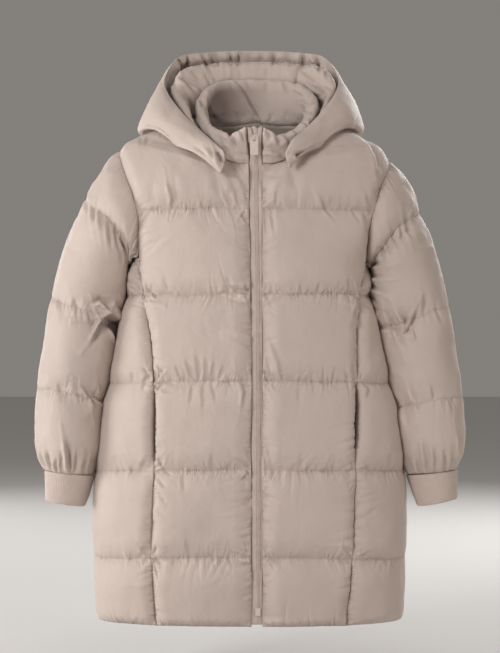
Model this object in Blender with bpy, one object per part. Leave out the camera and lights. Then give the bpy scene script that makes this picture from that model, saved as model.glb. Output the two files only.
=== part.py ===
"""Long hooded puffer coat, zipped up and filled out with no wearer in it.

Metres, +Z up, +X to the viewer's right, the front faces -Y. The origin is between
the shoulders, level with the front of the neck seam. Every cloth piece is a closed
wall: a smooth base surface on the seams, a quilted outer face that swells between
the seams, and a flatter lining face behind it.
"""

import math

import bpy
import numpy as np

# ---------------------------------------------------------------- driving sizes
HEM_Z = -0.816           # hem edge
SPRING_Z = -0.100        # where the front and back start to turn over the shoulder
YOKE_RISE = 0.160        # cloth height from there to the shoulder seam
SHOULDER_Y = 0.012       # shoulder seam, front to back
ROUND = 2.6              # superellipse power of the body's sections
SEAM_WALL = 0.0030       # sewn wall on a seam
LINING_SWELL = 0.0030    # how far the lining swells inward between seams
PUFF_FRONT = 0.0125      # outward swell of a front cell
PUFF_BACK = 0.0125
PUFF_SIDE = 0.0060
PUFF_SLEEVE = 0.0085
PUFF_EDGE = 0.0035       # the same along the sleeve's outer and inner sides
PUFF_CAP = 0.0075        # the same over the sleeve's head
PUFF_ROUND = 0.040       # distance over which a cell rounds up from its seam
CLEAR = 0.00025          # half the clearance between two pieces on a seam
CLEAR_ARM = 0.0012       # the same at an armhole or neck seam
POCKET_GAPE = 0.0012     # extra half width of the pocket slits
COLLAR_WALL = 0.019      # padded stand collar
HOOD_WALL = 0.013        # padded hood
ZIP_DEEP = 0.0026        # how far the zip lies behind the front edges
COIL_WIDE = 0.0062
TAPE_THICK = 0.0011
CUFF_WALL = 0.0026

# body sections: height, side seam left and right, zip centre, front and back depth
TORSO = np.array([
    # z       left     right    zip     front   back
    (-0.816, -0.2640,  0.2560,  0.0108, 0.121,  0.113),
    (-0.760, -0.2675,  0.2580,  0.0108, 0.127,  0.118),
    (-0.690, -0.2700,  0.2610,  0.0108, 0.128,  0.120),
    (-0.560, -0.2675,  0.2610,  0.0108, 0.125,  0.120),
    (-0.440, -0.2520,  0.2440,  0.0108, 0.120,  0.118),
    (-0.320, -0.2265,  0.2140,  0.0106, 0.114,  0.113),
    (-0.250, -0.2125,  0.2005,  0.0100, 0.110,  0.111),
    (-0.196, -0.2070,  0.2000,  0.0094, 0.106,  0.110),
    (-0.150, -0.2230,  0.2280,  0.0084, 0.103,  0.109),
    (-0.100, -0.2440,  0.2530,  0.0074, 0.100,  0.106),
])

# shoulder seam height by distance from the zip line
SHOULDER_L = np.array([(0.000, 0.066), (0.060, 0.055), (0.100, 0.048), (0.140, 0.038),
                       (0.180, 0.030), (0.207, 0.0205), (0.224, 0.010), (0.241, -0.0045)])
SHOULDER_R = np.array([(0.000, 0.066), (0.060, 0.055), (0.100, 0.048), (0.140, 0.038),
                       (0.170, 0.029), (0.195, 0.0145), (0.215, -0.0035), (0.234, -0.022)])

# quilt lines: height at the zip and at the side seam
QUILT = np.array([
    # zip     side
    (-0.816, -0.816),
    (-0.697, -0.708),
    (-0.550, -0.559),
    (-0.400, -0.408),
    (-0.254, -0.256),
    (-0.1086, -0.1095),
])

# princess seams: height, x on the left, x on the right
PRINCESS = np.array([
    # z       left     right
    (-0.816, -0.1610,  0.1590),
    (-0.760, -0.1660,  0.1640),
    (-0.690, -0.1690,  0.1700),
    (-0.600, -0.1680,  0.1730),
    (-0.500, -0.1655,  0.1765),
    (-0.400, -0.1680,  0.1790),
    (-0.320, -0.1745,  0.1790),
    (-0.260, -0.1850,  0.1830),
    (-0.190, -0.1925,  0.1945),
])

# armholes, from the foot of the front curve to the shoulder: x and height
ARM_L = np.array([(-0.1925, -0.1895), (-0.1934, -0.1747), (-0.1941, -0.1336), (-0.1975, -0.1103),
                  (-0.2046, -0.0835), (-0.2150, -0.0531), (-0.2238, -0.0297)])
ARM_R = np.array([(0.1960, -0.1960), (0.1985, -0.1747), (0.2008, -0.1436), (0.2065, -0.1188),
                  (0.2130, -0.0960), (0.2210, -0.0697), (0.2305, -0.0466)])
UNDERARM = {"l": (-0.2075, -0.1930), "r": (0.2010, -0.2000)}
SHOULDER_TIP = {"l": -0.2328, "r": 0.2398}

# neckline in the pattern plane: distance from the zip line, pattern height
NECK_FRONT = np.array([(0.0115, -0.0536), (0.030, -0.0520), (0.055, -0.0430), (0.080, -0.0180),
                       (0.094, 0.0200), (0.098, 0.0600)])
NECK_BACK = np.array([(0.098, 0.0600), (0.090, 0.0400), (0.065, 0.0255), (0.035, 0.0195), (0.0, 0.0180)])

# sleeve rings: centre x, y, z, half width, half depth, tilt of the ring, lift of its front and back
SLEEVE_L = np.array([
    # x        y       z       rx      ry      tilt   lift    seam
    (-0.2520,  0.004, -0.1475, 0.0680, 0.0700, 56.0,  0.018,  1),
    (-0.2720,  0.000, -0.2145, 0.0630, 0.0640, 28.0,  0.006,  0),
    (-0.2888, -0.003, -0.2793, 0.0610, 0.0600, 15.3,  0.000,  1),
    (-0.2993, -0.007, -0.3554, 0.0615, 0.0600, 11.0,  0.000,  0),
    (-0.3112, -0.012, -0.4254, 0.0590, 0.0570,  8.2,  0.000,  1),
    (-0.3180, -0.017, -0.5070, 0.0550, 0.0540,  7.0,  0.000,  0),
    (-0.3170, -0.022, -0.5620, 0.0425, 0.0410,  5.7,  0.000,  1),
])
SLEEVE_R = np.array([
    (0.2499,  0.004, -0.1608, 0.0655, 0.0700, 50.9,  0.016,  1),
    (0.2639,  0.000, -0.2294, 0.0650, 0.0640, 29.0,  0.006,  0),
    (0.2770, -0.003, -0.2940, 0.0655, 0.0600, 20.0,  0.000,  1),
    (0.2923, -0.007, -0.3738, 0.0620, 0.0600, 14.0,  0.000,  0),
    (0.3037, -0.012, -0.4403, 0.0595, 0.0570, 12.5,  0.000,  1),
    (0.3111, -0.017, -0.5094, 0.0555, 0.0540, 10.0,  0.000,  0),
    (0.3120, -0.022, -0.5605, 0.0435, 0.0410,  6.5,  0.000,  1),
])
# cuff rings: centre x, y, z, half width, half depth, tilt
CUFF_L = np.array([(-0.3172, -0.0220, -0.5640, 0.0405, 0.0385, 5.7),
                   (-0.3205, -0.0245, -0.5900, 0.0375, 0.0360, 7.5),
                   (-0.3248, -0.0270, -0.6150, 0.0335, 0.0325, 9.4)])
CUFF_R = np.array([(0.3120, -0.0220, -0.5630, 0.0425, 0.0385, 6.5),
                   (0.3165, -0.0245, -0.5885, 0.0375, 0.0360, 8.8),
                   (0.3212, -0.0270, -0.6133, 0.0335, 0.0325, 10.8)])

# collar: share of the way round from the left front edge, top edge x, y, z
COLLAR_TOP = np.array([
    # u      x        y       z
    (0.000, -0.0110, -0.1020, 0.0300),
    (0.070, -0.0360, -0.0950, 0.0200),
    (0.150, -0.0640, -0.0600, 0.0330),
    (0.250, -0.0840, -0.0050, 0.0720),
    (0.350, -0.0860,  0.0400, 0.1100),
    (0.430, -0.0580,  0.0640, 0.1270),
    (0.510,  0.0060,  0.0700, 0.1310),
    (0.590,  0.0680,  0.0640, 0.1270),
    (0.670,  0.0985,  0.0400, 0.1100),
    (0.760,  0.1000, -0.0050, 0.0740),
    (0.860,  0.0800, -0.0580, 0.0350),
    (0.935,  0.0480, -0.0930, 0.0190),
    (1.000,  0.0195, -0.1020, 0.0300),
])

# hood sections on the left half, front end to centre back. Each row is one section:
# neck edge, fold above the collar, under layer, bag bottom, outer layer, rim; then wall
HOOD = np.array([
    # neck                      fold                       under                      bottom                     outer                      rim                         wall
    (-0.050, -0.1075, -0.0290, -0.054, -0.1105, -0.0270, -0.056, -0.1140, -0.0340, -0.057, -0.1190, -0.0440, -0.053, -0.1225, -0.0370, -0.049, -0.1215, -0.0270, 0.0050),
    (-0.071, -0.0960, -0.0080, -0.078, -0.0960,  0.0000, -0.086, -0.0990, -0.0060, -0.090, -0.1060, -0.0150, -0.081, -0.1090, -0.0020, -0.071, -0.1040,  0.0080, 0.0065),
    (-0.091, -0.0640,  0.0170, -0.101, -0.0560,  0.0330, -0.115, -0.0610,  0.0170, -0.1290, -0.0720,  0.0030, -0.111, -0.0810,  0.0180, -0.090, -0.0740,  0.0270, 0.0075),
    (-0.106, -0.0120,  0.0490, -0.121,  0.0020,  0.0760, -0.143, -0.0070,  0.0420, -0.1660, -0.0260,  0.0200, -0.143, -0.0460,  0.0400, -0.116, -0.0440,  0.0540, 0.0090),
    (-0.105,  0.0330,  0.0600, -0.130,  0.0430,  0.1080, -0.157,  0.0480,  0.0580, -0.1950,  0.0330,  0.0375, -0.172,  0.0000,  0.0700, -0.146,  0.0100,  0.0960, 0.0110),
    (-0.083,  0.0600,  0.0600, -0.122,  0.0690,  0.1440, -0.151,  0.0930,  0.0560, -0.1900,  0.0980,  0.0310, -0.180,  0.0800,  0.0880, -0.156,  0.0780,  0.1330, 0.0120),
    (-0.058,  0.0690,  0.0580, -0.092,  0.0850,  0.1540, -0.116,  0.1170,  0.0480, -0.1430,  0.1480, -0.0100, -0.160,  0.1740,  0.0640, -0.134,  0.1430,  0.1800, 0.0130),
    (-0.029,  0.0710,  0.0560, -0.052,  0.0920,  0.1590, -0.066,  0.1200,  0.0430, -0.0800,  0.1600, -0.0340, -0.094,  0.2060,  0.0480, -0.084,  0.1640,  0.1920, 0.0130),
    ( 0.006,  0.0720,  0.0560,  0.003,  0.0940,  0.1610,  0.002,  0.1220,  0.0420,  0.0010,  0.1640, -0.0440, -0.001,  0.2160,  0.0400,  0.000,  0.1710,  0.1960, 0.0130),
])
HOOD_MIRROR = (0.008, 0.004, -0.001, -0.003, -0.001, -0.001)   # mirror line of each column
HOOD_SEAM = 6.35         # section number where a side panel meets the centre panel

# lower edge of the hood on the yoke: distance from the middle, height
HOOD_REST = np.array([(0.000, -0.070), (0.050, -0.056), (0.080, -0.038), (0.115, -0.024), (0.150, -0.018), (0.200, 0.000)])
PRESSED = 0.30           # share of a cell's swell that is left under the hood

# slider and tab
SLIDER_AT = (0.0050, 0.0095)   # x and height of the slider's middle
TAB = (0.0140, 0.0300, 0.0014)  # width, length, thickness
TAB_HOLE = 0.0020        # half width of the eye
TAB_BAR = 0.0009         # half height of the bar over the eye
TAB_EYE = 0.0056         # foot of the eye below the pivot


# ---------------------------------------------------------------- small numerics
def hermite(xs, ys, x):
    """Smooth curve through the rows (xs, ys), read at x."""
    xs, ys, x = np.asarray(xs, float), np.asarray(ys, float), np.clip(np.asarray(x, float), xs[0], xs[-1])
    m = np.gradient(ys, xs, axis=0)
    i = np.clip(np.searchsorted(xs, x, side="right") - 1, 0, len(xs) - 2)
    h = xs[i + 1] - xs[i]
    t = (x - xs[i]) / h
    if ys.ndim > 1:
        t, h = t[..., None], h[..., None]
    return ((2 * t**3 - 3 * t**2 + 1) * ys[i] + (t**3 - 2 * t**2 + t) * h * m[i]
            + (-2 * t**3 + 3 * t**2) * ys[i + 1] + (t**3 - t**2) * h * m[i + 1])


def along(points, share):
    """Points at the given shares of the length of a smooth curve through points."""
    points = np.asarray(points, float)
    step = np.r_[0, np.cumsum(np.linalg.norm(np.diff(points, axis=0), axis=1))]
    fine = hermite(step, points, np.linspace(0, step[-1], 200))
    length = np.r_[0, np.cumsum(np.linalg.norm(np.diff(fine, axis=0), axis=1))]
    want = np.asarray(share) * length[-1]
    return np.stack([np.interp(want, length, fine[:, k]) for k in range(fine.shape[1])], -1)


def unit(v):
    return v / np.maximum(np.linalg.norm(v, axis=-1, keepdims=True), 1e-12)


def grid_normals(p, wrap=False):
    """Normals of a grid of points (rows along the first axis; wrap if that axis is a ring)."""
    if wrap:
        du = np.roll(p, -1, 0) - np.roll(p, 1, 0)
    else:
        du = np.gradient(p, axis=0)
    dv = np.gradient(p, axis=1)
    return unit(np.cross(du, dv))


def bump(d, reach=PUFF_ROUND):
    """Round shoulder of a padded cell: 0 on its seam, 1 from reach inward."""
    t = 1 - np.clip(d / reach, 0, 1)
    return np.sqrt(np.clip(1 - t * t, 0, 1))


# ---------------------------------------------------------------- torso surface
def body(z):
    """Side seam left and right, zip x, front and back depth at height z."""
    r = hermite(TORSO[:, 0], TORSO[:, 1:], np.minimum(z, SPRING_Z))
    return [r[..., k] for k in range(5)]


def shoulder_z(x, zip_x):
    d = x - zip_x
    return np.where(d < 0, hermite(SHOULDER_L[:, 0], SHOULDER_L[:, 1], -d),
                    hermite(SHOULDER_R[:, 0], SHOULDER_R[:, 1], d))


def torso(x, v, back=False):
    """Point of the base surface at width x and pattern height v."""
    x, v = np.broadcast_arrays(np.asarray(x, float), np.asarray(v, float))
    left, right, zx, front, rear = body(v)
    half = np.where(x < zx, zx - left, right - zx)
    share = np.clip(np.abs(x - zx) / half, 0, 1)
    deep = (1 - share**ROUND) ** (1 / ROUND) * (rear if back else front)
    turn = np.clip((v - SPRING_Z) / YOKE_RISE, 0, 1) * math.pi / 2
    sign = 1 if back else -1
    y_low = sign * deep
    y = SHOULDER_Y + (y_low - SHOULDER_Y) * np.cos(turn)
    y = np.where(v > SPRING_Z, y, y_low)
    z = np.where(v > SPRING_Z, SPRING_Z + (shoulder_z(x, zx) - SPRING_Z) * np.sin(turn), v)
    return np.stack([x, y, z], -1)


def pattern_height(x, z):
    """Pattern height of the point of width x that lies at height z."""
    zx = body(z)[2]
    s = np.clip((z - SPRING_Z) / (shoulder_z(x, zx) - SPRING_Z), 0, 1)
    return np.where(z > SPRING_Z, SPRING_Z + YOKE_RISE * np.arcsin(s) * 2 / math.pi, z)


def arm_curve(side):
    """Armhole in the pattern plane, foot to shoulder tip."""
    arm = ARM_L if side == "l" else ARM_R
    pts = np.stack([arm[:, 0], pattern_height(arm[:, 0], arm[:, 1])], -1)
    return np.vstack([pts, [SHOULDER_TIP[side], SPRING_Z + YOKE_RISE]])


def quilt_height(row, x):
    """Height of quilt line row at width x."""
    zc, zs = row
    left, right, zx, _, _ = body(zc)
    half = np.where(x < zx, zx - left, right - zx)
    return zc + (zs - zc) * np.clip(np.abs(x - zx) / half, 0, 1) ** 2


def rows_between(levels, fractions):
    """Row positions (cell number + share of the cell) for a stack of cells."""
    out = []
    for i, f in enumerate(fractions):
        out += [i + a for a in f[:-1]]
    return np.array(out + [len(fractions)], float)


CELL = (0, 0.13, 0.5, 0.87, 1)
HEM_CELL = (0, 0.10, 0.24, 0.6, 0.89, 1)
YOKE_CELL = (0, 0.14, 0.30, 0.44, 0.58, 0.72, 0.86, 1)


def under_hood(p):
    """1 where the folded hood lies on the shoulder yoke, 0 clear of it."""
    line = np.interp(np.abs(p[..., 0] - 0.006), HOOD_REST[:, 0], HOOD_REST[:, 1])
    return np.clip((p[..., 2] - line) / 0.020, 0, 1)


# ---------------------------------------------------------------- mesh builders
def material(name, colour, rough, metal=0.0):
    m = bpy.data.materials.new(name)
    m.use_nodes = True
    b = m.node_tree.nodes["Principled BSDF"]
    b.inputs["Base Color"].default_value = (*colour, 1)
    b.inputs["Roughness"].default_value = rough
    b.inputs["Metallic"].default_value = metal
    m.diffuse_color = (*colour, 1)
    return m


def add_mesh(name, verts, faces, mat, origin=(0, 0, 0)):
    origin = np.asarray(origin, float)
    me = bpy.data.meshes.new(name)
    me.from_pydata([tuple(v - origin) for v in verts], [], [tuple(int(i) for i in f) for f in faces])
    me.update()
    ob = bpy.data.objects.new(name, me)
    ob.location = origin
    bpy.context.scene.collection.objects.link(ob)
    me.materials.append(mat)
    vol = 0.0
    for p in me.polygons:
        c = [np.array(me.vertices[i].co) for i in p.vertices]
        for k in range(1, len(c) - 1):
            vol += np.dot(c[0], np.cross(c[k], c[k + 1]))
    if vol < 0:
        me.flip_normals()
    me.shade_smooth()
    me.set_sharp_from_angle(angle=math.radians(60))
    return ob


def shell(name, outer, inner, mat, wrap=False):
    """Closed wall between two grids of the same shape; wrap if the first axis is a ring."""
    nu, nv = outer.shape[:2]
    verts = np.concatenate([outer.reshape(-1, 3), inner.reshape(-1, 3)])
    off = nu * nv
    faces = []
    cols = range(nu) if wrap else range(nu - 1)
    for i in cols:
        k = (i + 1) % nu
        for j in range(nv - 1):
            a, b, c, d = i * nv + j, k * nv + j, k * nv + j + 1, i * nv + j + 1
            faces.append((a, b, c, d))
            faces.append((off + d, off + c, off + b, off + a))
        a, b = i * nv, k * nv
        faces.append((b, a, off + a, off + b))
        a, b = i * nv + nv - 1, k * nv + nv - 1
        faces.append((a, b, off + b, off + a))
    if not wrap:
        for j in range(nv - 1):
            a, b = j, j + 1
            faces.append((a, b, off + b, off + a))
            a, b = (nu - 1) * nv + j, (nu - 1) * nv + j + 1
            faces.append((b, a, off + a, off + b))
    return add_mesh(name, verts, faces, mat)


def tube(name, loops, mat, origin=(0, 0, 0)):
    """Solid swept through closed loops of points (n_loops, n_points, 3), capped at both ends."""
    n, m = loops.shape[:2]
    verts = loops.reshape(-1, 3)
    faces = []
    for i in range(n - 1):
        for j in range(m):
            k = (j + 1) % m
            faces.append((i * m + j, i * m + k, (i + 1) * m + k, (i + 1) * m + j))
    faces.append(tuple(range(m))[::-1])
    faces.append(tuple((n - 1) * m + j for j in range(m)))
    return add_mesh(name, verts, faces, mat, origin)


def padded(name, base, normal, swell, mat, lining=LINING_SWELL, wrap=False):
    """Padded wall on a base surface: swell is the height field of its outer face."""
    share = swell / max(swell.max(), 1e-6)
    outer = base + normal * (SEAM_WALL * 0.3 + swell)[..., None]
    inner = base - normal * (SEAM_WALL * 0.7 + lining * share)[..., None]
    return shell(name, outer, inner, mat, wrap)


# ---------------------------------------------------------------- body panels
def edge_x(side, z, which):
    z = np.asarray(z, float)
    if which == "princess":
        return hermite(PRINCESS[:, 0], PRINCESS[:, 1 if side == "l" else 2], z)
    left, right, zx, _, _ = body(z)
    return left if side == "l" else right


def zip_edge(side, z):
    """Front edge of a front panel beside the zip."""
    zx = body(z)[2]
    wide = hermite([-0.816, -0.25, -0.05], [0.0118, 0.0122, 0.0125], z) if side == "l" else \
        hermite([-0.816, -0.25, -0.05], [0.0066, 0.0074, 0.0105], z)
    return zx - wide if side == "l" else zx + wide


def physical(p, axis):
    """Distance along a grid axis from its first line."""
    d = np.linalg.norm(np.diff(p, axis=axis), axis=-1)
    pad = [(0, 0), (0, 0)]
    pad[axis] = (1, 0)
    return np.cumsum(np.pad(d, pad), axis=axis)


def swell_field(p, rows, height, reach=PUFF_ROUND, left_edge=True, right_edge=True, side_keep=0.0):
    """Height field of a stack of padded cells on grid p (first axis across, second up)."""
    up = physical(p, 1)
    cell = np.floor(rows + 1e-9).astype(int)
    ncell = int(rows[-1])
    seam = {int(round(r)): j for j, r in enumerate(rows) if abs(r - round(r)) < 1e-9}
    near = np.zeros(p.shape[:2])
    for j, r in enumerate(rows):
        c = min(cell[j], ncell - 1)
        lo, hi = up[:, seam[c]], up[:, seam[c + 1]]
        near[:, j] = np.minimum(up[:, j] - lo, hi - up[:, j])
    across = physical(p, 0)
    f = bump(near, reach)
    g = np.ones(p.shape[:2])
    if left_edge:
        g = np.minimum(g, bump(across, reach))
    if right_edge:
        g = np.minimum(g, bump(across[-1:] - across, reach))
    return height * f * g


def front_panel(side, mat):
    rows = rows_between(QUILT, [HEM_CELL] + [CELL] * 4 + [YOKE_CELL])
    share = np.array((0, 0.09, 0.34, 0.66, 0.91, 1.0))
    sgn = -1 if side == "l" else 1
    arm = arm_curve(side)
    neck = NECK_FRONT.copy()
    inner_pts, outer_pts = [], []
    nq = len(QUILT) - 1
    # the yoke's inner edge: up the zip, then round the neckline
    zq = QUILT[-1, 0]
    zx_top = body(SPRING_Z)[2]
    yoke_in = [(float(zip_edge(side, zq)), zq), (float(zip_edge(side, -0.078)), -0.078)]
    yoke_in += [(zx_top + sgn * d, v) for d, v in neck]
    yoke_in[2] = (float(zip_edge(side, -0.0536)), -0.0536)
    # the yoke's outer edge: the armhole above the last quilt line
    arm_from = along(arm, np.linspace(0, 1, 200))
    top = quilt_height(QUILT[-1], arm_from[:, 0])
    k = int(np.argmin(np.abs(arm_from[:, 1] - top)))
    yoke_out = arm_from[k:]
    for r in rows:
        if r <= nq:
            i = min(int(r), nq - 1)
            a = r - i
            z_in = QUILT[i, 0] * (1 - a) + QUILT[i + 1, 0] * a
            inner_pts.append((float(zip_edge(side, z_in)), z_in))
            # the outer edge follows the princess seam, then the armhole
            def x_at(z):
                if z < arm[0, 1]:
                    return float(edge_x(side, z, "princess"))
                return float(np.interp(z, arm_from[:, 1], arm_from[:, 0]))
            z = z_in
            for _ in range(4):
                x = x_at(z)
                z = float(quilt_height(QUILT[i], x) * (1 - a) + quilt_height(QUILT[i + 1], x) * a)
            outer_pts.append((x_at(z), z))
        else:
            a = r - nq
            # up the zip to the neck corner, then round the neckline
            if a <= YOKE_CELL[2] + 1e-9:
                inner_pts.append(tuple(yoke_polyline(yoke_in[:3], a / YOKE_CELL[2])))
            else:
                inner_pts.append(tuple(yoke_polyline(yoke_in[2:], (a - YOKE_CELL[2]) / (1 - YOKE_CELL[2]))))
            outer_pts.append(tuple(along(yoke_out, [a])[0]))
    inner_pts, outer_pts = np.array(inner_pts), np.array(outer_pts)
    wide = np.abs(outer_pts[:, 0] - inner_pts[:, 0])
    s = np.repeat(share[:, None], len(rows), 1)
    # clearance on both edges
    pocket = pocket_gape(outer_pts[:, 1], rows)
    arm_part = outer_pts[:, 1] > arm[0, 1] - 1e-6
    neck_part = rows > nq + 0.2
    lo = np.where(neck_part, CLEAR_ARM, CLEAR) / wide
    hi = np.where(arm_part, CLEAR_ARM, CLEAR + pocket) / wide
    s = lo + s * (1 - lo - hi)
    x = inner_pts[:, 0] * (1 - s) + outer_pts[:, 0] * s
    v = inner_pts[:, 1] * (1 - s) + outer_pts[:, 1] * s
    v[:, -1] -= CLEAR
    p = torso(x, v)
    n = grid_normals(p)
    n = n * np.sign(-n[..., 1:2] + n[..., 2:3] * 0.6)
    n[:, -1, 1] = 0.0
    n[:, -1] = unit(n[:, -1])
    h = swell_field(p, rows, PUFF_FRONT)
    h = h * (1 - (1 - PRESSED) * under_hood(p) * (rows > nq))
    h = h * np.where(rows > nq + 0.2, np.clip(0.1 + physical(p, 0) / 0.045, 0, 1), 1.0)
    h = h * near_armhole(side, p)
    return padded(f"front_panel_{side}", p, n, h, mat)


def yoke_polyline(points, share):
    points = np.asarray(points, float)
    step = np.r_[0, np.cumsum(np.linalg.norm(np.diff(points, axis=0), axis=1))]
    d = share * step[-1]
    return np.array([np.interp(d, step, points[:, k]) for k in range(2)])


def pocket_gape(z, rows):
    """Extra clearance along the slit of an in-seam pocket."""
    mid, half = -0.480, 0.070
    t = np.clip(1 - ((z - mid) / half) ** 2, 0, 1)
    return POCKET_GAPE * t


def side_front(side, mat):
    nq = 4
    rows = rows_between(QUILT[:5], [HEM_CELL, CELL, CELL, CELL])
    rows = np.r_[rows, nq + np.array((0.3, 1.0))]
    share = np.array((0, 0.14, 0.5, 0.86, 1.0))
    arm = arm_curve(side)
    u = UNDERARM[side]
    grid = np.zeros((len(share), len(rows), 3))
    for j, r in enumerate(rows):
        def height(x):
            if r <= nq:
                i = min(int(r), nq - 1)
                a = r - i
                return quilt_height(QUILT[i], x) * (1 - a) + quilt_height(QUILT[i + 1], x) * a
            a = r - nq
            low = quilt_height(QUILT[nq], x)
            t = np.clip((np.abs(x) - abs(arm[0, 0])) / (abs(u[0]) - abs(arm[0, 0])), 0, 1)
            high = arm[0, 1] * (1 - t) + u[1] * t - CLEAR_ARM
            return low * (1 - a) + high * a
        x0 = float(edge_x(side, -0.3, "princess"))
        for _ in range(5):
            z0 = float(height(np.array(x0)))
            x0 = float(edge_x(side, z0, "princess"))
        x1 = float(edge_x(side, z0, "side"))
        for _ in range(5):
            z1 = float(height(np.array(x1)))
            x1 = float(edge_x(side, z1, "side"))
        left, right, zx, front, _ = body(np.array(z0))
        half0 = (zx - left) if side == "l" else (right - zx)
        a0 = math.asin(min(1.0, (abs(x0 - float(zx)) / float(half0)) ** (ROUND / 2)))
        pocket = float(pocket_gape(np.array([z0]), None)[0])
        total = 0.11
        lo = (CLEAR + pocket) / total
        hi = 1 - CLEAR / total
        for i, s in enumerate(share):
            s = lo + s * (hi - lo)
            ang = a0 * (1 - s) + math.pi / 2 * s
            z = z0 * (1 - s) + z1 * s
            lft, rgt, zx, frt, _ = body(np.array(z))
            half = float(zx - lft) if side == "l" else float(rgt - zx)
            d = half * math.sin(ang) ** (2 / ROUND)
            x = float(zx) + (-d if side == "l" else d)
            z = float(height(np.array(x)))
            lft, rgt, zx, frt, _ = body(np.array(z))
            half = float(zx - lft) if side == "l" else float(rgt - zx)
            d = half * math.sin(ang) ** (2 / ROUND)
            grid[i, j] = (float(zx) + (-d if side == "l" else d),
                          -float(frt) * max(math.cos(ang), 0.0) ** (2 / ROUND) - CLEAR * (s > 0.99), z)
    n = grid_normals(grid)
    out = np.array([-1.0 if side == "l" else 1.0, -0.6, 0])
    n = n * np.sign((n * out).sum(-1, keepdims=True))
    n[-1] = (-1.0 if side == "l" else 1.0, 0.0, 0.0)
    rows_s = rows.copy()
    rows_s[-2] = nq + 0.3
    h = swell_field(grid, np.r_[rows_s[:-1], nq + 1.0], PUFF_SIDE, reach=0.036)
    h = h * near_armhole(side, grid)
    return padded(f"side_front_{side}", grid, n, h, mat)


def back_panel(mat):
    rows = rows_between(QUILT, [HEM_CELL] + [CELL] * 3 + [(0, 0.13, 0.4, 0.66, 0.88, 1)] + [YOKE_CELL])
    nq = len(QUILT) - 1
    ang_share = np.array((0, 0.045, 0.12, 0.25, 0.3835, 0.4358, 0.507, 0.581, 0.635, 0.755, 0.88, 0.955, 1.0))
    arm = {s: arm_curve(s) for s in "lr"}
    fine = {s: along(arm[s], np.linspace(0, 1, 200)) for s in "lr"}
    grid = np.zeros((len(ang_share), len(rows), 3))
    top = SPRING_Z + YOKE_RISE

    def edge(side, r):
        """x and pattern height of the panel's outer edge at row r."""
        u = UNDERARM[side]
        f = np.vstack([[u[0], u[1]], fine[side]])
        if r < nq:
            i = int(r)
            a = r - i
            x = float(edge_x(side, -0.3, "side"))
            for _ in range(6):
                z = float(quilt_height(QUILT[i], np.array(x)) * (1 - a) + quilt_height(QUILT[i + 1], np.array(x)) * a)
                x = float(edge_x(side, z, "side")) if z < u[1] else float(np.interp(z, f[:, 1], f[:, 0]))
            return x, z
        a = r - nq
        k = int(np.argmin(np.abs(fine[side][:, 1] - QUILT[-1, 1])))
        return tuple(along(fine[side][k:], [a])[0])

    for j, r in enumerate(rows):
        (xl, vl), (xr, vr) = edge("l", r), edge("r", r)
        on_arm = {"l": vl > UNDERARM["l"][1] - 0.002, "r": vr > UNDERARM["r"][1] - 0.002}
        for i, s in enumerate(ang_share):
            v = vl * (1 - s) + vr * s
            if r < nq:
                k = int(r)
                a = r - k
            lft, rgt, zx, _, _ = [float(q) for q in body(np.array(v))]
            al = math.asin(min(1.0, ((zx - xl) / (zx - lft)) ** (ROUND / 2))) if xl < zx else 0
            ar = math.asin(min(1.0, ((xr - zx) / (rgt - zx)) ** (ROUND / 2)))
            ang = -al * (1 - s) + ar * s
            d = abs(math.sin(ang)) ** (2 / ROUND)
            x = zx - (zx - lft) * d if ang < 0 else zx + (rgt - zx) * d
            if i == 0:
                x = xl + (CLEAR_ARM if on_arm["l"] else 0)
            if i == len(ang_share) - 1:
                x = xr - (CLEAR_ARM if on_arm["r"] else 0)
            if r < nq:
                v = float(quilt_height(QUILT[k], np.array(x)) * (1 - a)
                          + quilt_height(QUILT[k + 1], np.array(x)) * a)
            elif r >= nq:
                # the yoke rises to the shoulder seams and falls to the back neckline
                a = r - nq
                d0 = abs(x - zx)
                neck_v = float(np.interp(d0, NECK_BACK[::-1, 0], NECK_BACK[::-1, 1]))
                roof = top if d0 >= NECK_BACK[0, 0] else neck_v
                base = float(quilt_height(QUILT[-1], np.array(x)))
                v = base * (1 - a) + roof * a if 0 < i < len(ang_share) - 1 else v
                if r == rows[-1]:
                    v -= CLEAR if roof == top else CLEAR_ARM
            grid[i, j] = torso(x, v, back=True)
            if (i in (0, len(ang_share) - 1)) and not on_arm["l" if i == 0 else "r"]:
                grid[i, j, 1] = CLEAR
    n = grid_normals(grid)
    n = n * np.sign(n[..., 1:2] + n[..., 2:3] * 0.3 + 1e-9)
    for i, sx in ((0, -1.0), (len(ang_share) - 1, 1.0)):
        low = rows < nq - 0.6
        n[i, low] = (sx, 0.0, 0.0)
    n[:, -1, 1] = 0.0
    n[:, -1] = unit(n[:, -1])
    h = swell_field(grid, rows, PUFF_BACK)
    side = np.clip(np.abs(grid[..., 0] - 0.006) / 0.25, 0, 1)
    h = np.where(rows < nq, h * (1 - (1 - PUFF_SIDE / PUFF_BACK) * side ** 4), h)
    h = h * (1 - (1 - PRESSED) * under_hood(grid) * (rows > nq))
    h = h * near_armhole("l", grid) * near_armhole("r", grid)
    return padded("back_panel", grid, n, h, mat)


# ---------------------------------------------------------------- sleeves and cuffs
def ring(row, theta, sgn):
    """Points of one sleeve ring: theta 0 outer, a quarter front, half inner, three quarters back."""
    x, y, z, rx, ry, tilt, lift = row[:7]
    t = math.radians(tilt)
    e1 = np.array([sgn * math.cos(t), 0, math.sin(t)])
    up = np.array([-sgn * math.sin(t), 0, math.cos(t)])
    p = np.array([x, y, z]) + np.outer(rx * np.cos(theta), e1)
    p = p + np.outer(-ry * np.sin(theta), (0, 1, 0)) + np.outer(lift * np.sin(theta) ** 2, up)
    return p


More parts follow.
